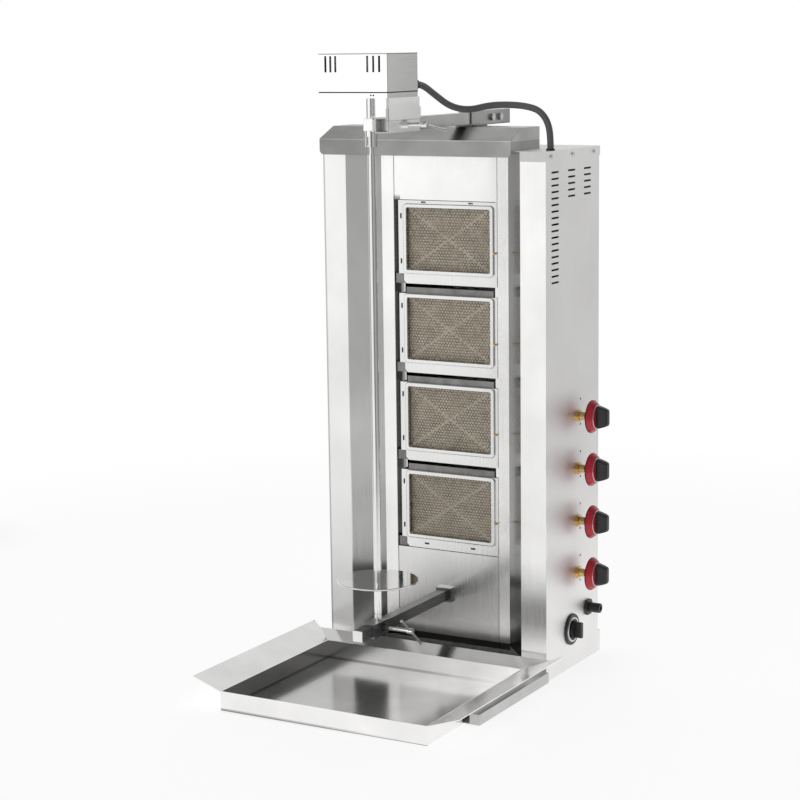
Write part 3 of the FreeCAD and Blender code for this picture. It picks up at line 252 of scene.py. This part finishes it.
# Painted shade on the right column: the faces behind its front are much darker, more so low down,
# and a band near its foot is darker.
finish["right_column"] = stainless(
    "right_column_sheet", 0.86, 0.20, waves=0.03,
    painted_light=((0.42, (BEHIND_FRONT,)),
           (0.72, (BEHIND_FRONT, ("Z", 0.42, 0.25))),
           (0.66, (("Z", 0.21, 0.13), ("Z", 0.06, 0.10)))))
finish["inner"] = stainless("recess_sheet", 0.66, 0.22, waves=0.03)
# Painted shadow on the lid: the part in front of the cabinet front, above 0.88 m, where it meets
# the hood, is darker.
finish["side"] = stainless(
    "side_sheet", 0.95, 0.50, clouds=0.03, waves=0.015,
    painted_light=((0.74, (("Y", -0.1062, -0.1067), ("Z", 0.880, 0.8835))),))
# Painted light on the hood: painted shade darkens it towards the left, its upper slope is painted
# lighter, and a bright line along the fold is a painted highlight.
finish["hood"] = stainless(
    "hood_sheet", 0.36, 0.34, grain=ALONG_X, clouds=0.22, waves=0.05,
    painted_light=((0.74, (("X", 0.10, -0.20),)), (1.42, (HOOD_SLOPE,)), (1.5, HOOD_FOLD_HIGHLIGHT)))
# Painted shade: the dark strip beside the burner bays, and a painted shadow at the foot of the
# wall.
finish["panel"] = stainless("burner_wall_sheet", 0.86, 0.22, waves=0.05,
                            painted_light=((0.34, BAY_EDGE_SHADE), (0.14, (PANEL_FOOT_SHADOW,))))
# Painted shade on the lower wall: darker towards the bottom, with a painted shadow at its foot.
finish["lower_panel"] = stainless("lower_wall_sheet", 0.80, 0.24, waves=0.05,
                                  painted_light=((0.80, (("Z", 0.30, 0.05),)), (0.14, (PANEL_FOOT_SHADOW,))))
finish["burner_frame"] = stainless("burner_frame_sheet", 0.78, 0.26, clouds=0.05)
print("finishes of the cabinet:", len(finish))

# %% [markdown]
# The motor cover and the tray are smooth sheet that mirrors the room, the bars are drawn steel, and
# the plate and the turned parts are polished. A bar could have the upright grain of the cabinet
# sheets, but real bars are ground along their length, so the grain is turned to run along them.

# %% Steel of the head, the bars and the tray
# Painted shade on the motor cover: its right end face is darker, and dark lines are painted along
# the folds at its top front, top right and right front.
finish["cover"] = stainless(
    "motor_cover_sheet", 0.94, 0.16, grain=(12, 12, 900), clouds=0.03,
    painted_light=((0.60, (COVER_RIGHT,)),
           (0.35, (("Y", -0.3353, -0.3358), COVER_TOP)),
           (0.45, (COVER_RIGHT, COVER_TOP)),
           (0.60, (COVER_RIGHT, ("Y", -0.3338, -0.3346)))))
# Painted shade and reflection in the tray: its floor darkens towards the left, its back edge is
# darker on the left, and a dark line is painted along the bottom of its front.
finish["tray"] = stainless(
    "tray_sheet", 0.94, 0.16, grain=ALONG_Y, clouds=0.10, waves=0.04,
    painted_light=((0.62, (("X", 0.16, 0.0), TRAY_FLOOR)),
           (0.80, (("X", 0.0, -0.19), TRAY_FLOOR)),
           (0.36, (("X", -0.05, -0.17), ("Y", -0.1130, -0.1115))),
           (0.45, (("Z", 0.0034, 0.0026), ("Y", -0.4890, -0.4900)))))
finish["rail"] = stainless("rail_steel", 0.56, 0.32, grain=ALONG_Y, clouds=0.12)
# Painted light on the bars: a painted shadow under the top bar, the lower bar painted lighter, and
# painted shade on the sides of the lower bar.
finish["bar"] = stainless(
    "square_bar", 0.50, 0.28, grain=ALONG_Y, clouds=0.16,
    painted_light=((0.45, TOP_BAR_SHADOW), (1.7, (("Z", 0.20, 0.15),)), (0.24, LOWER_BAR_SIDE_SHADE)))
# Painted shadow: a dark line along the bottom of the holder, where it sits on the hood.
finish["holder"] = stainless("holder_steel", 0.34, 0.30, grain=ALONG_Y, clouds=0.20,
                             painted_light=((0.35, (("Z", 0.9402, 0.9394),)),))
# Painted shade on the sleeve: its front is darker, and a dark line is painted along its seam.
finish["bracket"] = stainless("head_bracket", 0.98, 0.36, grain=ALONG_Y, clouds=0.05,
                              painted_light=((0.5, (("Y", -0.3335, -0.3340),)), (0.6, SLEEVE_SEAM_SHADE)))
finish["turned"] = stainless("turned_steel", 0.86, 0.07, grain=(30, 30, 900), clouds=0.08)
finish["skewer"] = stainless("skewer_steel", 0.82, 0.16, grain=(900, 900, 10), clouds=0.06)
finish["disc"] = stainless("disc_steel", 0.70, 0.08, grain=(30, 30, 30), clouds=0.08)
print("steel finishes:", len(finish))

# %% [markdown]
# The other finishes are plainer. Burner parts are dull from heat, brass fittings are machined, and
# the knobs and glands are moulded plastic with a fine satin grain. A flat colour would do from far
# away, but a small bump and an uneven roughness take the computer look off each of them.

# %% A helper for plain finishes
ROUGHNESS_SPREAD = 0.12


def plain_finish(name, colour, rough, metallic, grain, depth=0.15, mottle=0.12):
    material, shader, add, link = new_material(name, Metallic=metallic, Roughness=rough)
    place = add("TexCoord")
    fine = add("TexNoise", Scale=grain, Detail=3.0)
    link(place.outputs["Object"], fine.inputs["Vector"])
    broad = add("TexNoise", Scale=grain / 18, Detail=4.0)
    link(place.outputs["Object"], broad.inputs["Vector"])
    shade = two_tones(add, [c * (1 - mottle) for c in colour],
                      [min(1, c * (1 + mottle)) for c in colour], 0.3, 0.7)
    link(broad.outputs["Fac"], shade.inputs["Fac"])
    link(shade.outputs["Color"], shader.inputs["Base Color"])
    varied = add("MapRange", From_Min=0.3, From_Max=0.7,
               To_Min=max(0.02, rough - ROUGHNESS_SPREAD / 2), To_Max=rough + ROUGHNESS_SPREAD / 2)
    link(broad.outputs["Fac"], varied.inputs["Value"])
    link(varied.outputs["Result"], shader.inputs["Roughness"])
    bump = add("Bump", Strength=depth, Distance=0.0003)
    link(fine.outputs["Fac"], bump.inputs["Height"])
    link(bump.outputs["Normal"], shader.inputs["Normal"])
    return material


print("swing of the roughness:", ROUGHNESS_SPREAD)

# %% [markdown]
# Each of these materials is one call. The colours are not pure: black plastic is a very dark grey,
# and even a bright red has a little of the other colours in it, as on a real moulding.

# %% The other materials
finish["burner_body"] = plain_finish("heat_dulled_steel", (0.27, 0.266, 0.255), 0.45, 0.6, 900,
                                     depth=0.4, mottle=0.3)
finish["ceramic"] = plain_finish("burner_tile", (0.88, 0.79, 0.66), 0.9, 0.0, 700, 0.5, 0.12)
finish["brass"] = plain_finish("machined_brass", (0.72, 0.50, 0.20), 0.28, 1.0, 300)
finish["pipe"] = plain_finish("drawn_aluminium", (0.62, 0.62, 0.62), 0.32, 1.0, 300)
finish["zinc"] = plain_finish("zinc_plated_steel", (0.45, 0.45, 0.44), 0.38, 0.9, 300)
finish["plated"] = plain_finish("plated_bolt", (0.66, 0.66, 0.66), 0.22, 1.0, 500)
finish["black"] = plain_finish("black_moulding", (0.018, 0.018, 0.019), 0.38, 0.0, 900, 0.08)
finish["red"] = plain_finish("red_moulding", (0.50, 0.012, 0.030), 0.26, 0.0, 600, 0.04, 0.05)
finish["motor"] = plain_finish("motor_housing", (0.02, 0.02, 0.022), 0.55, 0.0, 500)
print("all finishes:", len(finish))

# %% [markdown]
# Each solid now gets its finish. It could be picked by hand for each piece, but one table from
# finish to pieces shows at a glance which sheets are alike. A solid that is in no row gets a new
# form further down.

# %% Which finish for which solid
finish_of = {
    "column": ["left_column", "left_side_panel"],
    "right_column": ["right_column"],
    "side": ["right_side_panel", "back_panel", "base_pan", "control_box_lid"],
    "panel": ["bay_frame", "upper_front_panel"],
    "lower_panel": ["lower_front_panel"],
    "inner": ["control_box_wall"],
    "hood": ["hood"],
    "burner_frame": ["burner_frame_%d" % number for number in range(1, 5)],
    "burner_body": ["burner_bodies"],
    "ceramic": ["burner_ceramics"],
    "cover": ["motor_cover", "motor_pan"],
    "bracket": ["head_sleeve"],
    "holder": ["rail_holder"],
    "bar": ["top_bar", "lower_bar", "bearing_block"],
    "rail": ["support_rail_left", "support_rail_right"],
    "turned": ["skewer_coupling", "output_shaft", "motor_pinion", "upper_clamp_screw",
               "lower_clamp_screw"],
    "skewer": ["skewer_rod"],
    "disc": ["meat_disc"],
    "tray": ["drip_tray"],
    "plated": ["screws_and_bolts", "upper_cross_bar", "lower_cross_bar"],
    "brass": ["gas_taps", "flame_sensors"] + ["valve_stem_%d" % number for number in range(1, 5)],
    "pipe": ["gas_pipes"],
    "zinc": ["gas_manifold"],
    "black": ["cable_glands", "head_gland", "rotary_switch", "switch_knob"],
    "motor": ["gear_motor"],
}
dressed = {name for names in finish_of.values() for name in names}
print("solids that get a new form instead:", sorted(set(nodes) - dressed))

# %% Give every solid its finish
def give(target, material):
    target.data.materials.clear()
    target.data.materials.append(material)


for key, names in finish_of.items():
    for name in names:
        give(nodes[name], finish[key])
print("solids with a finish:", len(dressed))

# %% [markdown]
# The motor cable hangs in one smooth line from the gland in the motor cover to the gland in the
# lid. A NURBS curve is the right tool: its control points are the ones that the solid uses, and the
# curve rounds them by itself. The order is set after the points exist, because before that Blender
# would keep it at two, which gives straight runs. The head slides on its rail while the lid stays;
# the curve is turned into a mesh further down.

# %% The line of the motor cable
cable_points = [(0.040, -0.229, 1.012), (0.040, -0.208, 1.012), (0.044, -0.172, 0.994),
                (0.054, -0.136, 0.973), (0.072, -0.104, 0.9665), (0.100, -0.083, 0.9745),
                (0.132, -0.072, 0.975), (0.160, -0.0685, 0.9725), (0.183, -0.0675, 0.966),
                (0.198, -0.0675, 0.949), (0.204, -0.068, 0.926), (0.204, -0.068, 0.903)]
curve = bpy.data.curves.new("cable_sleeve_line", "CURVE")
curve.dimensions = "3D"
line = curve.splines.new("NURBS")
line.points.add(len(cable_points) - 1)
for point, at in zip(line.points, cable_points):
    point.co = (*at, 1.0)
line.order_u = 3
line.use_endpoint_u = True
line.resolution_u = 10
print("cable control points:", len(cable_points))

# %% [markdown]
# The curve is read twice. Without thickness it gives the points along its middle, and with
# thickness it gives the tube itself.

# %% The cable as a tube
CABLE_RADIUS = 0.0055
drawn = bpy.data.objects.new("cable_sleeve_curve", curve)
bpy.context.scene.collection.objects.link(drawn)
bpy.context.view_layer.update()
middle_line = bpy.data.meshes.new_from_object(drawn)
curve.bevel_depth = CABLE_RADIUS
curve.bevel_resolution = 6
curve.use_fill_caps = True
bpy.context.view_layer.update()
cable = bpy.data.objects.new("cable_sleeve", bpy.data.meshes.new_from_object(drawn))
bpy.context.scene.collection.objects.link(cable)
bpy.data.objects.remove(drawn)

# %% [markdown]
# The cable wears a braided sleeve. The threads could be modelled one by one, but at this size a
# wave texture across the tube shows them well enough. The tube then takes the place of the plain
# solid.

# %% The braided sleeve
sleeve, shader, add, link = new_material("grey_cable_sleeve", Roughness=0.5)
place = add("TexCoord")
threads = add("TexWave", dict(wave_type="BANDS", bands_direction="DIAGONAL"), Scale=120.0,
              Distortion=2.0, Detail=2.0)
link(place.outputs["Object"], threads.inputs["Vector"])
tones = two_tones(add, (0.045, 0.046, 0.048), (0.19, 0.19, 0.195))
link(threads.outputs["Fac"], tones.inputs["Fac"])
link(tones.outputs["Color"], shader.inputs["Base Color"])
weave = add("Bump", Strength=0.25, Distance=0.0004)
link(threads.outputs["Fac"], weave.inputs["Height"])
link(weave.outputs["Normal"], shader.inputs["Normal"])
cable.data.materials.append(sleeve)
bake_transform(cable)
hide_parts("motor_cable")
print("corners of the cable mesh:", len(cable.data.vertices))

# %% [markdown]
# All the new pieces that follow are made in one way: a list of corner points and faces becomes a
# mesh, and the mesh rides on its part of the grill. The same could be drawn in edit mode, but in a
# list every measure can be read.

# %% A helper for new pieces
def add_piece(name, points, faces, material, body, slot, smooth=False, bevel=0.0):
    mesh = bpy.data.meshes.new(name)
    mesh.from_pydata([tuple(p) for p in points], [], faces)
    mesh.validate()
    piece = bpy.data.objects.new(name, mesh)
    bpy.context.scene.collection.objects.link(piece)
    for face in mesh.polygons:
        face.use_smooth = smooth
    if bevel:
        rounding = piece.modifiers.new("rounding", "BEVEL")
        rounding.width = bevel
        rounding.segments = 3
        rounding.limit_method = "ANGLE"
        rounding.harden_normals = False
    give(piece, material)
    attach(piece, body)
    return piece


print("helper ready for new pieces")

# %% [markdown]
# A gas burner of this kind has a net of fine expanded metal in front of its glowing tiles. The net
# is made of zigzag strands, and each strand touches the next at its peaks, which leaves rows of
# small diamonds. A picture of a net would be quicker, but real strands catch light far better, so
# each strand is a thin folded ribbon. Two pressed creases cross each net from corner to corner.

# %% Shape of a burner net
NET_LEFT, NET_RIGHT = -0.0795, 0.0865
NET_HEIGHT = 0.1115
NET_RISE = 0.00125        # how far the net reaches above its window
NET_Y = FRONT + 0.0540
BURNER_TOPS = [0.798 - i * 0.1566 for i in range(4)]
COLUMNS, ROWS = 60, 23
HALF_STRAND = 0.0008
RIBBON = ((0.0005, -1.0), (-0.0004, -0.4), (-0.0003, 0.5), (0.0005, 1.0))
ZIGZAG = 0.00155          # height of a peak above the middle of its strand
CREASE_WIDTH = 0.045      # as a share of the net
CREASE_RISE = 0.0011
HIGHLIGHT_FROM = 0.55        # how far up the crease its bright part starts, 0 to 1


def crease(u, v):
    """How far the pressed cross stands out at a place on the net, 0 to 1."""
    gap = min(abs(u - v), abs(u + v - 1))
    return max(0.0, 1 - gap / CREASE_WIDTH)


print("tops of the windows:", [round(top, 3) for top in BURNER_TOPS])

# %% Strands of a burner net
def net(top):
    """Points and faces of a net whose window ends at this height."""
    points, faces = [], []
    low = top + NET_RISE - NET_HEIGHT
    step = (NET_RIGHT - NET_LEFT) / COLUMNS
    for row in range(ROWS):
        middle = low + NET_HEIGHT * (row + 0.5) / ROWS
        start = len(points)
        for i in range(COLUMNS + 1):
            x = NET_LEFT + i * step
            z = middle + (ZIGZAG if (i + row) % 2 else -ZIGZAG)
            y = NET_Y - crease(i / COLUMNS, (z - low) / NET_HEIGHT) * CREASE_RISE
            points += [(x, y + back, z + HALF_STRAND * up) for back, up in RIBBON]
        for i in range(COLUMNS):
            a, b = start + len(RIBBON) * i, start + len(RIBBON) * (i + 1)
            faces += [(a + k, b + k, b + k + 1, a + k + 1) for k in range(len(RIBBON) - 1)]
    return points, faces


print("strands in each net:", ROWS)

# %% [markdown]
# Heat has stained the wire brown in patches, and each dab is paler at its middle. Cells of a
# Voronoi texture times a noise give that without any repeat. The strands on the creases stand out,
# and their faces take a second, lighter material: a painted highlight for the light the creases
# catch.

# %% The burner nets
wire, shader, add, link = new_material("heat_stained_net", Metallic=0.85, Roughness=0.42)
place = add("TexCoord")
spots = add("TexVoronoi", Scale=190.0)
link(place.outputs["Object"], spots.inputs["Vector"])
patches = add("TexNoise", Scale=38.0, Detail=3.0)
link(place.outputs["Object"], patches.inputs["Vector"])
both = add("Math", dict(operation="MULTIPLY"))
link(spots.outputs["Distance"], both.inputs[0])
link(patches.outputs["Fac"], both.inputs[1])
stain = two_tones(add, (0.62, 0.53, 0.40), (0.10, 0.075, 0.055), last_at=0.32)
link(both.outputs["Value"], stain.inputs["Fac"])
link(stain.outputs["Color"], shader.inputs["Base Color"])
crease_highlight = plain_finish("crease_highlight_wire", (0.68, 0.63, 0.55), 0.40, 0.5, 600)
for number, top in enumerate(BURNER_TOPS, 1):
    piece = add_piece("net_%d" % number, *net(top), wire, "cabinet", "screen_wire")
    piece.data.materials.append(crease_highlight)
    for face in piece.data.polygons:
        across = (face.center.x - NET_LEFT) / (NET_RIGHT - NET_LEFT)
        up = (face.center.z - top - NET_RISE) / NET_HEIGHT + 1
        if crease(across, up) > HIGHLIGHT_FROM:
            face.material_index = 1
    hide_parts("burner_screen_%d" % number)
print("bright faces on the last net:", sum(f.material_index for f in piece.data.polygons))

# %% [markdown]
# Knobs and rings are round, so they come off a lathe. A screw modifier would turn a profile too,
# but a short function gives plain points at once and leaves no modifier to apply.

# %% A lathe
LATHE_SIDES = 64


def lathe(profile, centre):
    """Points and faces of a profile of (distance along +X, radius) turned round the X axis."""
    points, faces = [], []
    for x, radius in profile:
        for i in range(LATHE_SIDES):
            turn = 2 * math.pi * i / LATHE_SIDES
            points.append((centre[0] + x, centre[1] + radius * math.cos(turn),
                           centre[2] + radius * math.sin(turn)))
    for ring in range(len(profile) - 1):
        for i in range(LATHE_SIDES):
            j = (i + 1) % LATHE_SIDES
            a, b = ring * LATHE_SIDES, (ring + 1) * LATHE_SIDES
            faces.append((a + i, b + i, b + j, a + j))
    return points, faces


print("sides of a turned piece:", LATHE_SIDES)

# %% [markdown]
# A gas knob is a wide red cone with a black grip across it. The cone is turned on a lathe from a
# short profile with rounded corners, a thin pale ring lies round its face, and the dark rim at the
# back is where the cone meets its skirt. The knob could be one mesh, but separate pieces keep red,
# black and bright apart, as they are on a real knob.

# %% Profiles of a gas knob
KNOB_X = 0.2395
KNOB_Y = FRONT + 0.127
KNOB_HEIGHTS = [0.442 - i * 0.0924 for i in range(4)]
cone = [(-0.0065, 0.0042), (-0.0065, 0.0076), (0.0052, 0.0078), (0.0054, 0.0236), (0.0004, 0.0262),
        (0.0000, 0.0280), (0.0006, 0.0285), (0.0022, 0.0285), (0.0032, 0.0279), (0.0075, 0.0246),
        (0.0108, 0.0218), (0.0115, 0.0210), (0.0117, 0.0200), (0.0116, 0.0001)]
rim = [(-0.0002, 0.0270), (-0.0004, 0.0286), (0.0018, 0.0287), (0.0021, 0.0284)]
ring = [(0.0113, 0.0214), (0.0119, 0.0212), (0.0121, 0.0203), (0.0117, 0.0196)]
print("widest part of the cone:", 2 * max(radius for x, radius in cone), "m")

# %% [markdown]
# The grip gets narrower towards its tip. A cube could be scaled at one end, but rings of eight
# corners also cut its long edges, so that it looks moulded.

# %% The grip of a gas knob
GRIP_WIDTH, GRIP_HEIGHT, GRIP_CORNER = 0.0088, 0.0192, 0.0038
GRIP_RINGS = ((0.0112, 1.0, 1.0), (0.0160, 1.0, 0.99), (0.0255, 0.86, 0.84),
              (0.0300, 0.70, 0.74), (0.0312, 0.56, 0.66))


def grip_points(centre):
    """A tapered bar across the knob: rings of eight corners from its foot to its tip."""
    points = []
    for x, wide, tall in GRIP_RINGS:
        w, t, c = GRIP_WIDTH * wide, GRIP_HEIGHT * tall, GRIP_CORNER * wide
        for y, z in ((w, t - c), (w - c, t), (c - w, t), (-w, t - c),
                     (-w, c - t), (c - w, -t), (w - c, -t), (w, c - t)):
            points.append((centre[0] + x, centre[1] + y, centre[2] + z))
    last = len(GRIP_RINGS) - 1
    faces = [(8 * k + i, 8 * k + (i + 1) % 8, 8 * k + 8 + (i + 1) % 8, 8 * k + 8 + i)
             for k in range(last) for i in range(8)]
    faces.append(tuple(range(8 * last, 8 * last + 8)))
    return points, faces


print("rings of the grip:", len(GRIP_RINGS))

# %% The gas knobs
for number, height in enumerate(KNOB_HEIGHTS, 1):
    centre = (KNOB_X, KNOB_Y, height)
    body = "knob_%d" % number
    skirt = add_piece("knob_cone_%d" % number, *lathe(cone, centre), finish["red"], body,
                      "red_plastic", smooth=True)
    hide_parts("gas_knob_%d" % number)
    add_piece("knob_rim_%d" % number, *lathe(rim, centre), finish["black"], body,
              "black_plastic", smooth=True)
    add_piece("knob_ring_%d" % number, *lathe(ring, centre), finish["plated"], body,
              "bolt_steel", smooth=True)
    add_piece("knob_grip_%d" % number, *grip_points(centre), finish["black"], body,
              "black_plastic", bevel=0.0009)
print("knobs at heights", [round(h, 3) for h in KNOB_HEIGHTS])

# %% [markdown]
# Between the motor cover and its pan lies a shadow gap, which shows as a dark line all round. A
# black strip stands in it as painted shadow. A dark stripe in the steel would look the same from
# afar, but the strip stands proud of the sheet. It is a low ring, built from its corner points,
# with its edges rounded a little.

# %% The black strip of painted shadow under the cover
STRIP_PROUD = 0.0003
STRIP_DOWN, STRIP_UP = 0.0013, 0.0007
STRIP_WIDE = 0.0009


def frame_ring(x0, x1, y0, y1, z0, z1, wide):
    """A low rectangular ring round a box, as points and faces."""
    points, faces = [], []
    for z in (z0, z1):
        for inset in (0.0, wide):
            points += [(x0 + inset, y0 + inset, z), (x1 - inset, y0 + inset, z),
                       (x1 - inset, y1 - inset, z), (x0 + inset, y1 - inset, z)]
    for i in range(4):
        j = (i + 1) % 4
        faces += [(i, j, 8 + j, 8 + i), (4 + j, 4 + i, 12 + i, 12 + j),
                  (j, i, 4 + i, 4 + j), (8 + i, 8 + j, 12 + j, 12 + i)]
    return points, faces


low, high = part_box("motor_cover")
strip = frame_ring(low[0] - STRIP_PROUD, high[0] + STRIP_PROUD,
                   low[1] - STRIP_PROUD, high[1] + STRIP_PROUD,
                   low[2] - STRIP_DOWN, low[2] + STRIP_UP, STRIP_WIDE)
add_piece("cover_shadow_strip", *strip, finish["black"], "head", "black_plastic", bevel=0.0002)
print("cover strip at height", round(low[2], 4))

# %% [markdown]
# The rotary switch is black, with one bright ring let into its flange. The solid could be given two
# materials, but a thin turned ring that sits in the flange catches the light along its own edge.

# %% The bright ring of the switch
switch_at = (0.2135, FRONT + 0.0996, 0.0688)
bright = [(0.0038, 0.0222), (0.0048, 0.0220), (0.0056, 0.0208), (0.0056, 0.0190), (0.0046, 0.0184)]
add_piece("switch_ring", *lathe(bright, switch_at), finish["plated"], "cabinet", "bolt_steel",
          smooth=True)
print("switch centre", switch_at)

# %% [markdown]
# Steel looks like steel because of what it mirrors, so the studio is planned as a ring of tones
# round the grill. It is white where the camera looks and white at the front on the left, where a
# big screen stands. The side of the camera is dark, and so is the wall on the right, as in most
# studios. Flat fronts mirror the screen, folded walls mirror the grey parts, and round bars pick up
# white and dark stripes. A radial gradient gives the angle, and a ramp turns it into a grey.

# %% Tones of the room by angle
ROOM_TONES = ((-180, 0.38), (-150, 0.40), (-138, 1.0), (-80, 1.0), (-72, 0.22), (-48, 0.20),
              (-38, 0.44), (-6, 0.46), (8, 0.26), (42, 0.28), (56, 0.54), (66, 0.64), (80, 1.0),
              (162, 1.0), (174, 0.40), (180, 0.38))


def room_tone(tree, direction):
    """Grey of the room in the direction of a vector, whatever its length."""
    add, link = node_tools(tree)
    angle = add("TexGradient", dict(gradient_type="RADIAL"))
    link(direction, angle.inputs["Vector"])
    tones = add("ValToRGB")
    stops = tones.color_ramp.elements
    while len(stops) < len(ROOM_TONES):
        stops.new(0.5)
    for stop, (degrees, grey) in zip(stops, ROOM_TONES):
        stop.position = degrees / 360 + 0.5
        stop.color = (grey, grey, grey, 1)
    link(angle.outputs["Fac"], tones.inputs["Fac"])
    return tones.outputs["Color"]


print("tones round the grill:", len(ROOM_TONES))

# %% [markdown]
# The world is the room itself. Lamps alone would leave steel black wherever no lamp stands, so the
# world lights it from every side. A second, plain ramp makes it darker towards the ceiling.

# %% World
CEILING_FROM, CEILING_FULL, CEILING_TONE = 0.10, 0.70, 0.62
world = bpy.data.worlds.new("studio_world")
bpy.context.scene.world = world
world.use_nodes = True
world.node_tree.nodes.clear()
add, link = node_tools(world.node_tree)
place = add("TexCoord")
height = add("SeparateXYZ")
link(place.outputs["Generated"], height.inputs[0])
ceiling = add("MapRange", From_Min=CEILING_FROM, From_Max=CEILING_FULL,
              To_Min=1.0, To_Max=CEILING_TONE)
link(height.outputs["Z"], ceiling.inputs["Value"])
background = add("Background")
link(room_tone(world.node_tree, place.outputs["Generated"]), background.inputs["Color"])
link(ceiling.outputs["Result"], background.inputs["Strength"])
sky = add("OutputWorld")
link(background.outputs[0], sky.inputs["Surface"])
print("ceiling tone:", CEILING_TONE)

# %% [markdown]
# The floor is white paper near the grill. It glows a little, so that it comes out as white as the
# paper of a catalogue, and it still takes a soft shadow. Past the picture it takes on the tone that
# the room has in the same direction, so that floor and room meet without a line. A curved backdrop
# would do that too, but only from one side. One large plain face does it from all of them.

# %% The floor as a mesh
FLOOR_EDGE = 80           # far enough out to meet the horizon
floor_mesh = bpy.data.meshes.new("studio_floor")
floor_mesh.from_pydata([(-FLOOR_EDGE, -FLOOR_EDGE, 0), (FLOOR_EDGE, -FLOOR_EDGE, 0),
                        (FLOOR_EDGE, FLOOR_EDGE, 0), (-FLOOR_EDGE, FLOOR_EDGE, 0)],
                       [], [(0, 1, 2, 3)])
floor = bpy.data.objects.new("studio_floor", floor_mesh)
bpy.context.scene.collection.objects.link(floor)
print("floor", 2 * FLOOR_EDGE, "m wide")

# %% [markdown]
# The paper is a glow and a matt surface added together, so it is bright and can still be shaded.
# The distance from the middle decides how much of it gives way to the tone of the room.

# %% White paper that turns into the room
FLOOR_GLOW, FLOOR_PAPER = 0.74, 0.46
WHITE_UP_TO, ROOM_FROM = 1.25, 2.0
paper = bpy.data.materials.new("white_floor")
paper.use_nodes = True
paper.node_tree.nodes.clear()
add, link = node_tools(paper.node_tree)
spot = add("TexCoord")
far = add("VectorMath", dict(operation="LENGTH"))
link(spot.outputs["Object"], far.inputs[0])
share = add("MapRange", From_Min=WHITE_UP_TO, From_Max=ROOM_FROM)
link(far.outputs["Value"], share.inputs["Value"])
glow = add("Emission", Color=(FLOOR_GLOW, FLOOR_GLOW, FLOOR_GLOW, 1))
matt = add("BsdfDiffuse", Color=(FLOOR_PAPER, FLOOR_PAPER, FLOOR_PAPER, 1))
near = add("AddShader")
link(glow.outputs[0], near.inputs[0])
link(matt.outputs[0], near.inputs[1])
room = add("Emission")
link(room_tone(paper.node_tree, spot.outputs["Object"]), room.inputs["Color"])
blend = add("MixShader")
link(share.outputs["Result"], blend.inputs["Fac"])
link(near.outputs[0], blend.inputs[1])
link(room.outputs[0], blend.inputs[2])
surface = add("OutputMaterial")
link(blend.outputs[0], surface.inputs["Surface"])
floor_mesh.materials.append(paper)
print("floor white up to", WHITE_UP_TO, "m")

# %% [markdown]
# Three large soft boxes do the rest. The key light stands in front on the left, one fills from
# behind on the right, and one above lifts the top faces. Small lamps would give hard bright spots,
# while large ones give the soft edges to the highlights that make brushed steel look like steel.

# %% Lamps
LAMP_AIM = (0.0, -0.05, 0.5)


def soft_box(name, at, size, power):
    light = bpy.data.lights.new(name, "AREA")
    light.shape = "RECTANGLE"
    light.size, light.size_y = size
    light.energy = power
    lamp = bpy.data.objects.new(name, light)
    lamp.location = at
    aim = Vector(LAMP_AIM) - Vector(at)
    lamp.rotation_euler = aim.to_track_quat("-Z", "Y").to_euler()
    bpy.context.scene.collection.objects.link(lamp)


soft_box("key_box", (-1.9, -2.9, 1.5), (1.8, 2.6), 2)
soft_box("fill_box", (2.2, 2.2, 1.6), (1.2, 1.8), 4)
soft_box("top_box", (0.2, -0.4, 2.8), (2.0, 2.0), 3)
